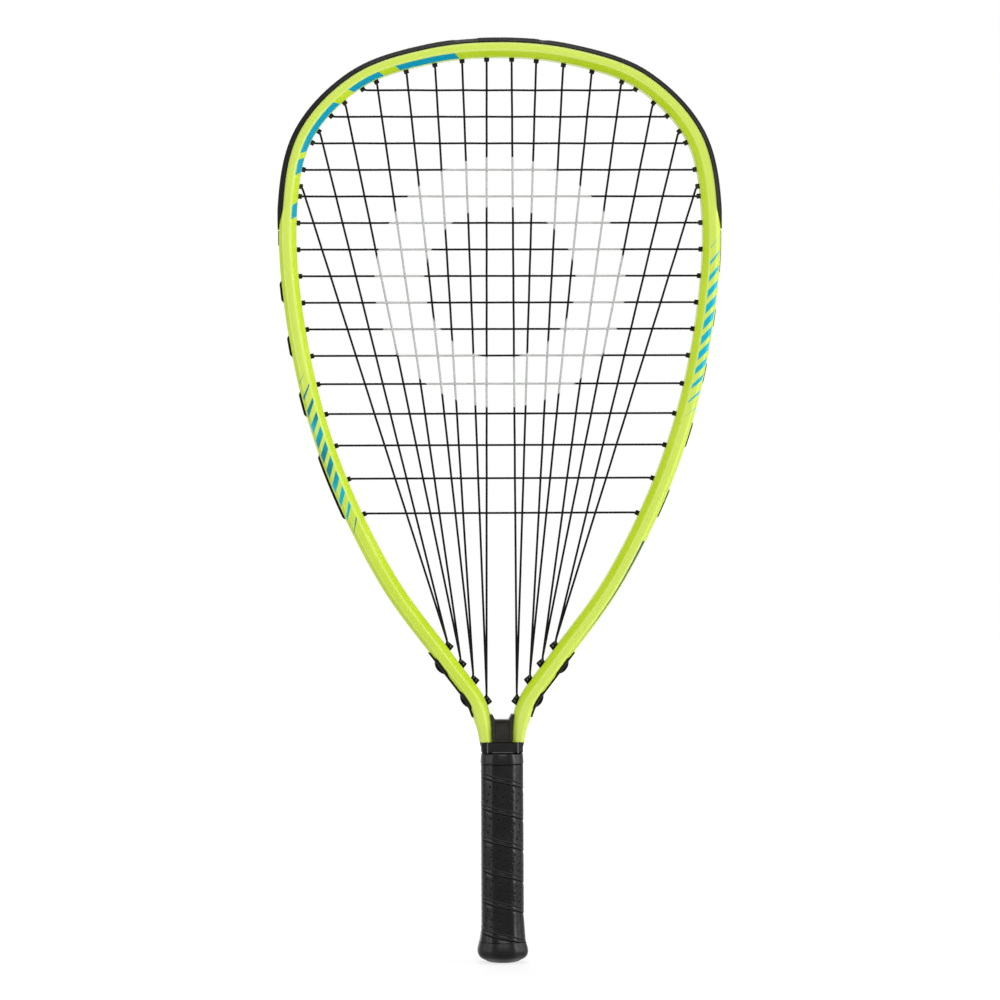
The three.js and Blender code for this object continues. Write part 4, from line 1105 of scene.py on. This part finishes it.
def throat_grommet_surface(s):
    """A rounded plate on the tube's inner face, and a U-shaped wall on it whose top slopes up
    to the lower end. The U's outside and inside are paired, and its top edge draws in. Both
    ends lean upward, each by its lean times the height. The marks are length, depth and height."""
    half = GROMMET_LENGTH / 2
    deep = GROMMET_DEPTH / 2
    slot = GROMMET_SLOT / 2
    bore = half - GROMMET_WALL_END
    low, high = GROMMET_HEIGHTS
    plate = rounded([(-half, -deep), (half, -deep), (half, deep), (-half, deep)], PLATE_ROUNDING)
    wall = rounded([
        (-half, deep), (half, deep), (half, -deep), (-half, -deep),
        (-half, -slot), (bore, -slot), (bore, slot), (-half, slot),
    ], WALL_ROUNDING)
    inset = wall + WALL_DRAW_IN * (wall[::-1] - wall)
    top = low + (high - low) * (wall[:, 0] + half) / GROMMET_LENGTH
    plate = np.stack([
        lifted(plate, PLATE_FOOT), lifted(plate, PLATE_SHOULDER),
        lifted(PLATE_TOP_SHARE * plate, GROMMET_PLATE),
    ])
    wall = np.stack([lifted(wall, 0), lifted(wall, top - WALL_SHOULDER), lifted(inset, top)])
    surface = gathered([skin(plate, plate), skin(wall, wall)])
    # Length goes downward, depth as it is, and height into the head
    x, z, _, _ = along(s)
    face = TUBE_INNER_FACE * width_share(z)
    axes = axes_at(s)[0] * np.array([np.sign(s), 1, -1])[:, None]
    points = surface.points.copy()
    least, most = GROMMET_LEANS
    lean = least + (most - least) * (half - points[:, 0]) / GROMMET_LENGTH
    points[:, 0] -= lean * points[:, 2]
    origin = np.array([x, 0, z]) + face * axes_at(s)[0][2]
    return outward(surface._replace(points=origin + points @ axes))


# Strings

def weave_sign(main, cross):
    """1 where the main passes behind the cross, -1 in front: by turns along both."""
    return np.where((main + cross) % 2 == 0, 1, -1)


ROWS = np.arange(CROSS_COUNT)
GROWN = np.maximum(0, ROWS - EVEN_CROSSES)
CROSS_HEIGHTS = TOP_CROSS_HEIGHT - CROSS_PITCH * ROWS - GROWN * (GROWN + 1) / 2
CROSS_HOLES = s_at_height(CROSS_HEIGHTS, STRING_BEND)
MAIN_HOLES = s_at_angle(MAIN_ANGLES, BARREL_END)
THROAT_HOLES = s_at_height(THROAT_GROMMET_HEIGHTS, THROAT_READING)
CROSSES_ON_BUMPER = int(np.sum(CROSS_HOLES < s_at_height(BUMPER_END_HEIGHT, 0)))

# Main strings from left to right; rank counts from the outside
MAINS = np.arange(2 * len(MAIN_ANGLES))
MAIN_SIDE = np.where(MAINS < len(MAIN_ANGLES), -1, 1)
MAIN_RANK = np.where(MAIN_SIDE < 0, MAINS, MAINS[-1] - MAINS)
HEAD_S = MAIN_SIDE * MAIN_HOLES[MAIN_RANK.max() - MAIN_RANK]
THROAT_S = MAIN_SIDE * THROAT_HOLES[MAIN_RANK // 2]
MAIN_LANE = THROAT_LANE * weave_sign(MAINS, CROSS_COUNT - 1)
TO_LANE = MAIN_LANE[:, None] * (0, 1, 0)
MAIN_TOP = on_tube(HEAD_S, STRING_BEND, 0)
THROAT_MOUTH = TUBE_INNER_FACE * width_share(along(THROAT_S)[1]) - MOUTH_DROP
MAIN_BOTTOM = on_tube(THROAT_S - MOUTH_BACK * MAIN_SIDE, 0, 0, THROAT_MOUTH) + TO_LANE
THROAT_EXIT = on_tube(THROAT_S, STRIP_TOP, 0, STRING_RADIUS + EXIT_CLEARANCE) + TO_LANE


def main_run(index):
    """One main from its head exit to its throat exit, through its woven crossings."""
    top, bottom = MAIN_TOP[index], MAIN_BOTTOM[index]
    rows = ROWS[CROSS_HEIGHTS < top[2]]
    share = (top[2] - CROSS_HEIGHTS[rows]) / (top[2] - bottom[2])
    woven = top + (bottom - top) * share[:, None]
    woven[:, 1] = weave_sign(index, rows) * WEAVE
    return np.vstack([on_tube(HEAD_S[index], LINK_HEIGHT, 0), top, woven, bottom, THROAT_EXIT[index]])


def cross_run(row):
    """One cross from left to right, through its woven crossings."""
    share = (MAIN_TOP[:, 2] - CROSS_HEIGHTS[row]) / (MAIN_TOP[:, 2] - MAIN_BOTTOM[:, 2])
    woven = MAIN_TOP + (MAIN_BOTTOM - MAIN_TOP) * share[:, None]
    woven[:, 1] = -weave_sign(MAINS, row) * WEAVE
    woven[:, 2] = CROSS_HEIGHTS[row]
    s = CROSS_HOLES[row]
    ends = on_tube([-s, -s, s, s], [LINK_HEIGHT, STRING_BEND, STRING_BEND, LINK_HEIGHT], 0)
    return np.vstack([ends[:2], woven[share > 0], ends[2:]])


def link(start, end, lane):
    """Along the groove between two holes, beside the holes that it passes."""
    inward = np.sign(end - start) * LINK_RUN_IN
    count = max(2, round(abs(end - start) / LINK_STEP))
    return on_tube(np.linspace(start + inward, end - inward, count), LINK_HEIGHT, lane)


def round_lobe(start, end, lane):
    """Half round a guide's lobe, at the depth of the string's lane."""
    middle = (start + end) / 2
    angle = np.radians(np.linspace(*LOBE_TURN, LOBE_TURN_POINTS))[::1 if end > start else -1]
    height = LOBE_FLATNESS * np.sin(angle)
    local = np.stack([np.cos(angle), 0 * angle, height], -1) * LOBE_STRING_RADIUS
    return on_tube(middle, LOBE_FLOOR, 0) + (local + (0, lane, 0)) @ axes_at(middle)[0]


def mains_of_side(side):
    """One side's mains as one run, from its tied end to the innermost string's head hole."""
    mains = MAINS[MAIN_SIDE == side]
    of_rank = mains[np.argsort(MAIN_RANK[mains])]
    first = HEAD_S[of_rank[MAIN_LACING[0][0]]]
    route = [on_tube([first - side * TAIL], LINK_HEIGHT, 0)]
    previous = None
    for down, up in (of_rank[list(pair)] for pair in MAIN_LACING):
        if previous is not None:
            route.append(link(HEAD_S[previous], HEAD_S[down], MAIN_LINK_LANE))
        route += [
            main_run(down),
            round_lobe(THROAT_S[down], THROAT_S[up], MAIN_LANE[down]),
            main_run(up)[::-1],
        ]
        previous = up
    return np.vstack(route)


def main_route():
    """The mains as one string: the left side's, a link over the head's middle, the right's."""
    inner = MAIN_HOLES[0]
    return np.vstack([mains_of_side(-1), link(-inner, inner, 0), mains_of_side(1)[::-1]])


def cross_route():
    """Crosses from the top down, to the right and back to the left in turn."""
    route = [on_tube([-CROSS_HOLES[0] - TAIL], LINK_HEIGHT, 0)]
    for row in ROWS:
        side = 1 if row % 2 == 0 else -1
        route.append(cross_run(row)[::side])
        if row + 1 < CROSS_COUNT:
            lane = CROSS_LINK_LANE if row + 1 < CROSSES_ON_BUMPER else 0
            route.append(link(side * CROSS_HOLES[row], side * CROSS_HOLES[row + 1], lane))
    route.append(on_tube([-CROSS_HOLES[-1] - TAIL], LINK_HEIGHT, 0))
    return np.vstack(route)


def string_surface(route):
    """A round section carried along the route. The route is resampled at even steps, and its
    corners are softened by averaging each point with its neighbours, 1 : 2 : 1."""
    lengths = lengths_along(route)
    at = np.linspace(0, lengths[-1], round(lengths[-1] / STRING_STEP))
    points = np.stack([np.interp(at, lengths, column) for column in route.T], -1)
    for _ in range(STRING_SOFTENING):
        points[1:-1] = (points[:-2] + 2 * points[1:-1] + points[2:]) / 4
    forward = unit(np.gradient(points, axis=0))
    across = unit(np.cross(forward, (0, 1, 0)))
    up = np.cross(across, forward)
    angle = (2 * pi * np.arange(STRING_SIDES) / STRING_SIDES)[None, :, None]
    round_it = np.cos(angle) * across[:, None] + np.sin(angle) * up[:, None]
    rings = points[:, None] + STRING_RADIUS * round_it
    marks = np.stack(np.broadcast_arrays(at[:, None], angle[..., 0], 0.0), -1)
    return skin(rings, marks, "fan")


# Handle

FLARE_CURVE = curve_through(BUTT_FLARE, 6)


def stands_out(height):
    """How far the handle's surface stands out from its octagon at a height."""
    return np.interp(height, *FLARE_CURVE.T)


def handle_outline(offset):
    """The octagon's corners plus the offset times their growth, with rounded corners."""
    offset = np.asarray(offset, float)[..., None, None]
    return rounded(HANDLE_CORNERS + offset * HANDLE_GROWTH, HANDLE_ROUNDING)


def at_heights(outlines, heights):
    """Puts one flat outline at each height."""
    heights = np.broadcast_to(np.reshape(heights, (-1, 1, 1)), (*outlines.shape[:2], 1))
    return np.concatenate([outlines, heights], -1)


def edge_inset(heights, low, high, radius):
    """How far a rounded edge draws in near both ends: radius minus the circle's height there."""
    near = np.clip(np.minimum(heights - low, high - heights), 0, radius)
    return radius - np.sqrt(radius ** 2 - (radius - near) ** 2)


def levels(low, high, radius, count=9):
    """Heights from low to high, close together near both ends."""
    edge = radius * (1 - np.cos(np.linspace(0, pi / 2, 5)))
    between = np.linspace(low + radius, high - radius, count)[1:-1]
    return np.concatenate([low + edge, between, high - edge[::-1]])


def holed_floor(outline, height):
    """The cap's floor with its two lanyard holes: for the front and for the back, points
    between the hole's circle and the half outline with the line across its middle."""
    middle = len(outline) // 2
    halves = []
    for side in (-1, 1):
        ring = outline if side > 0 else -outline
        across = np.linspace(ring[middle][0], ring[0][0], FLOOR_POINTS + 2)[1:-1]
        rim = np.vstack([ring[:middle + 1], np.stack([across, 0 * across], -1)])
        centre = np.array([0, side * LANYARD_HOLE_OFFSET])
        circle = centre + LANYARD_HOLE_RADIUS * unit(rim - centre)
        share = np.linspace(0, 1, 5)[:, None, None]
        grid = circle + share * (rim - circle)
        halves.append(at_heights(grid, height))
    return halves


def butt_cap_surface():
    """Rings up the flare and the sleeve and down the cavity, and two floors whose lanyard
    holes are joined by walls."""
    flare = FLARE_CURVE[FLARE_CURVE[:, 0] <= CAP_LEDGE]
    under = np.linspace(CAP_LEDGE, SLEEVE_TOP, 7)
    cavity = np.linspace(SLEEVE_TOP, CAVITY_FLOOR, 4)
    heights = np.concatenate([flare[:, 0], under, cavity])
    sleeve = stands_out(under) + SLEEVE_INSET
    offsets = np.concatenate([flare[:, 1], sleeve, 0 * cavity + CAVITY_INSET])
    # From the middle of the right facet, so that front and back halves have their ends there
    outlines = from_right(handle_outline(offsets))
    low = holed_floor(outlines[0], 0)
    high = holed_floor(outlines[-1], CAVITY_FLOOR)
    parts = [at_heights(outlines, heights)]
    for below, above in zip(low, high):
        parts += [below, above, np.stack([below[0], above[0]])]
    return gathered([skin(part, 0, "open") for part in parts])


def from_right(outlines):
    """Adds the middle points of the right and left facets, and starts at the right one."""
    quarter = outlines.shape[-2] // 4
    right = outlines[..., quarter - 1:quarter + 1, :].mean(-2, keepdims=True)
    upper = outlines[..., quarter:3 * quarter, :]
    return np.concatenate([right, upper, right * (-1, 1), -upper], -2)


def tape_surface():
    """The section carried up a helix: ring k lies at the k-th point of the octagon's outline,
    clockwise, and rises by the pitch for each whole turn. Heights are kept within the tape's."""
    section = rounded(TAPE_SECTION, TAPE_ROUNDING, 2)
    start = np.roll(handle_outline(0.0)[::-1], TAPE_START, axis=0)
    lengths = lengths_along(np.vstack([start, start[:1]]))
    around = len(start)
    turns = (TAPE_TOP - TAPE_END_GAP - TAPE_FIRST_EDGE) / TAPE_PITCH
    k = np.arange(int(around * turns) + 1)
    turn = k // around + lengths[k % around] / lengths[-1]
    heights = TAPE_FIRST_EDGE + TAPE_PITCH * turn[:, None] + section[:, 0]
    heights = np.clip(heights, TAPE_BOTTOM, TAPE_TOP)
    offsets = stands_out(heights) + section[:, 1]
    outlines = np.roll(handle_outline(offsets)[..., ::-1, :], TAPE_START, axis=-2)
    flat = np.take_along_axis(outlines, (k % around)[:, None, None, None], axis=-2)[..., 0, :]
    rings = np.concatenate([flat, heights[..., None]], -1)
    marks = np.broadcast_arrays(turn[:, None] * lengths[-1], section[:, 0], section[:, 1])
    marks = np.stack(marks, -1)
    return skin(rings, marks, "fan")


def collar_surface():
    """The octagon at each height, drawn in towards the top by the square of the share of the
    height, and by its rounded edges."""
    heights = levels(COLLAR_BOTTOM, COLLAR_TOP, COLLAR_EDGE)
    share = (heights - COLLAR_BOTTOM) / (COLLAR_TOP - COLLAR_BOTTOM)
    inset = edge_inset(heights, COLLAR_BOTTOM, COLLAR_TOP, COLLAR_EDGE)
    outlines = handle_outline(COLLAR_STAND - inset)
    lean = np.sign(np.round(outlines, 6)) * COLLAR_TOP_INSET
    return skin(at_heights(outlines - lean * (share ** 2)[:, None, None], heights), 0, "fan")


def fourfold(quarter):
    """A quarter outline, from the front edge to the side, in all four quarters."""
    quarter = np.array(quarter, float)
    right = np.vstack([quarter, (quarter * (1, -1))[::-1]])
    return np.vstack([right, (right * (-1, 1))[::-1]])


def apron_surface():
    """Outlines between the bottom plan and the top plan, with rounded edges."""
    heights = levels(APRON_BOTTOM, APRON_TOP, APRON_EDGE, 5)
    share = ((heights - APRON_BOTTOM) / (APRON_TOP - APRON_BOTTOM))[:, None, None]
    low, high = fourfold(APRON_BOTTOM_PLAN), fourfold(APRON_TOP_PLAN)
    plans = low + share * (high - low)
    inset = edge_inset(heights, APRON_BOTTOM, APRON_TOP, APRON_EDGE)[:, None, None]
    plans = plans - np.sign(plans) * inset
    return skin(at_heights(rounded(plans, APRON_ROUNDING), heights), 0, "fan")


def web_surface():
    """Rings up the web, each from left to right along the front and back along the rear.
    The top is hollow in the middle, its edge is rounded, and both faces have a shallow recess."""
    across = np.linspace(-1, 1, WEB_POINTS)
    edge = WEB_FINE_FROM + (1 - WEB_FINE_FROM) * np.sin(np.linspace(0, pi / 2, 13))[1:]
    share = np.concatenate([np.linspace(0, WEB_FINE_FROM, 60), edge])[:, None]
    widest = np.interp(WEB_TOP, *np.array(WEB_HALF_WIDTHS).T)
    top = WEB_TOP + (WEB_HORN_TOP - WEB_TOP) * smooth(np.abs(across) * widest, *WEB_HORN_START)
    z = WEB_BOTTOM + share * (top - WEB_BOTTOM)
    x = across * np.interp(z, *np.array(WEB_HALF_WIDTHS).T)
    inset = edge_inset(z, z - 2 * WEB_EDGE, top, WEB_EDGE)
    recess = window(z, *RECESS_HEIGHTS, RECESS_RAMP)
    recess = recess * window(np.abs(x), -1, RECESS_HALF_WIDTH, RECESS_RAMP)
    y = WEB_HALF_DEPTH - inset - RECESS_DEPTH * recess
    front = np.stack([x, -y, z], -1)
    back = np.stack([x, y, z], -1)[:, ::-1]
    return skin(np.concatenate([front, back], 1), 0)


# Assembly

nylon = moulded("dark grey nylon", ink(34, 35, 32), ink(48, 49, 45), shine=0.05, dress=bumper_tones)
black_nylon = moulded("black nylon", ink(8, 8, 8), ink(13, 13, 12), 0.4)
grommet_nylon = moulded("worn black nylon", ink(14, 14, 12), ink(24, 24, 21), 0.5, dress=wedge_tones)
bridge_plastic = moulded("charcoal plastic", ink(46, 45, 41), ink(56, 55, 50), dress=apron_tones)
cap_rubber = moulded("black cap rubber", ink(10, 10, 10), ink(15, 15, 14), 0.34, 0.00001, shine=0.19)
collar_rubber = moulded("black collar rubber", ink(8, 8, 8), ink(12, 12, 12), 0.26, 0.000005, shine=0.2)
string_look = string_finish()
pallet_foam = moulded("handle foam", ink(170, 156, 124), ink(188, 174, 140), 0.8, 0.0001, 0.2)
staple_steel = moulded("staple steel", ink(150, 150, 150), ink(176, 176, 176), 0.35, 0.00002)

piece("painted_frame", frame_surface(), frame_finish(), "frame_tube")
piece("moulded_bumper", bumper_surface(), nylon, "bumper_guard")
for side, label, raised in ((-1, "left", LEFT_RAISED), (1, "right", RIGHT_RAISED)):
    strip = strip_surface(side, raised)
    piece(f"strip_{label}", strip, black_nylon, f"side_grommet_strip_{label}")
for side, label in ((-1, "left"), (1, "right")):
    guide = guide_surface(side)
    piece(f"guide_{label}", guide, black_nylon, f"string_guide_{label}")
    for number, s in enumerate(THROAT_HOLES, 1):
        wedge = throat_grommet_surface(side * s)
        node = f"throat_grommet_{label}_{number}"
        piece(f"wedge_{label}_{number}", wedge, grommet_nylon, node)
piece("round_mains", string_surface(main_route()), string_look, "main_strings", 60)
piece("round_crosses", string_surface(cross_route()), string_look, "cross_strings", 60)
bridge = gathered([web_surface(), apron_surface()])
piece("bridge", bridge, bridge_plastic, "throat_bridge")
piece("flared_cap", butt_cap_surface(), cap_rubber, "butt_cap", merge=True)
piece("wound_tape", tape_surface(), tape_finish(), "grip_tape", merge=True)
piece("collar", collar_surface(), collar_rubber, "grip_collar")
for name in ("handle_pallet_front", "handle_pallet_back"):
    keep_node(name, pallet_foam)
for name in ("butt_cap_staple_left", "butt_cap_staple_right"):
    keep_node(name, staple_steel)


# Studio

# The camera stands this far from the racket's axis, turned round it to the left
CAMERA_DISTANCE = 3.0
CAMERA_TURN = 3.0
CAMERA_ASIDE = -0.00054
CAMERA_HEIGHT = 0.21725
CAMERA_ROLL = 0.23
SENSOR = 36
LENS = 178.49
AMBIENT = 0.25
LAMP_TARGET = 0.3
# Name, direction seen from above (0 is the front, 90 the right), height, distance,
# width, length and power
LAMPS = [
    ("front soft lamp", 0, 1.9, 2.4, 1.6, 1.6, 42),
    ("right strip lamp", 84, 0.3, 1.6, 0.34, 1.5, 18),
    ("left strip lamp", -84, 0.3, 1.6, 0.2, 1.5, 6),
    ("back soft lamp", 180, 1.9, 2.4, 1.6, 1.6, 54),
]


def make_world():
    """A white room, which gives less light than it shows to the camera."""
    world = bpy.data.worlds.new("white room")
    world.use_nodes = True
    room = Nodes(world.node_tree)
    strength = room.scaled(room.seen(), AMBIENT, 1)
    room.give(room.tree.nodes["Background"], {"Color": (1, 1, 1, 1), "Strength": strength})
    bpy.context.scene.world = world


# The floor's tone for the light that it gives back. Where it is seen, it shows a smaller
# share and glows: from the first distance to the second the glow rises from the third value
# to the fourth, as the lamps' light falls off
FLOOR_SHARE = 0.3
FLOOR_TONE = 0.8
FLOOR_REACH = 6.0
FLOOR_GAP = 0.0003
FLOOR_GLOW = (0.2, 3.0, 0.74, 0.95)


def make_floor():
    """A wide white floor at the butt's end, which looks white and keeps the shadow."""
    mesh = bpy.data.meshes.new("floor")
    corners = FLOOR_REACH * np.array([(-1, -1), (1, -1), (1, 1), (-1, 1)])
    mesh.from_pydata(lifted(corners, BUTT_Z - FLOOR_GAP), [], [(0, 1, 2, 3)])
    material = bpy.data.materials.new("white floor")
    material.use_nodes = True
    paint = Nodes(material.node_tree)
    paint.tree.nodes.remove(paint.tree.nodes["Principled BSDF"])
    away = paint.add("VectorMath", {0: paint.in_metres()}, output="Value", operation="LENGTH")
    glow = paint.add("Emission", {"Strength": paint.ramp(away, *FLOOR_GLOW, "SMOOTHSTEP")})
    plain, dim = (
        paint.add("BsdfDiffuse", {"Color": (tone, tone, tone, 1)}) for tone in (FLOOR_TONE, FLOOR_SHARE)
    )
    lit = paint.add("AddShader", {0: dim, 1: glow})
    choice = paint.add("MixShader", {0: paint.seen(), 1: plain, 2: lit})
    paint.give(paint.tree.nodes["Material Output"], {"Surface": choice})
    mesh.materials.append(material)
    placed("floor", mesh)


def make_lamps():
    """Soft lamps round the racket, each turned to the middle of its head."""
    target = np.array([0, 0, LAMP_TARGET])
    for name, direction, height, distance, width, length, power in LAMPS:
        lamp = bpy.data.lights.new(name, "AREA")
        lamp.shape = "RECTANGLE"
        lamp.energy = power
        lamp.size = width
        lamp.size_y = length
        holder = placed(name, lamp)
        turn = radians(direction)
        place = np.array([distance * np.sin(turn), -distance * np.cos(turn), height])
        holder.location = place
        tilt = np.arctan2(np.hypot(*(place - target)[:2]), place[2] - target[2])
        holder.rotation_euler = (tilt, 0, turn)


def make_camera():
    """A long lens at the photograph's viewing angle: back along the turned line of sight by
    the distance, and across it by the aside."""
    camera = bpy.data.cameras.new("camera")
    camera.sensor_width = SENSOR
    camera.lens = LENS
    holder = placed("camera", camera)
    turn = radians(CAMERA_TURN)
    x = CAMERA_ASIDE * np.cos(turn) - CAMERA_DISTANCE * np.sin(turn)
    y = -CAMERA_ASIDE * np.sin(turn) - CAMERA_DISTANCE * np.cos(turn)
    holder.location = (x, y, CAMERA_HEIGHT)
    holder.rotation_euler = (pi / 2, radians(CAMERA_ROLL), -turn)
    bpy.context.scene.camera = holder


make_world()
make_floor()
make_lamps()
make_camera()
bpy.context.scene.view_settings.view_transform = "Standard"
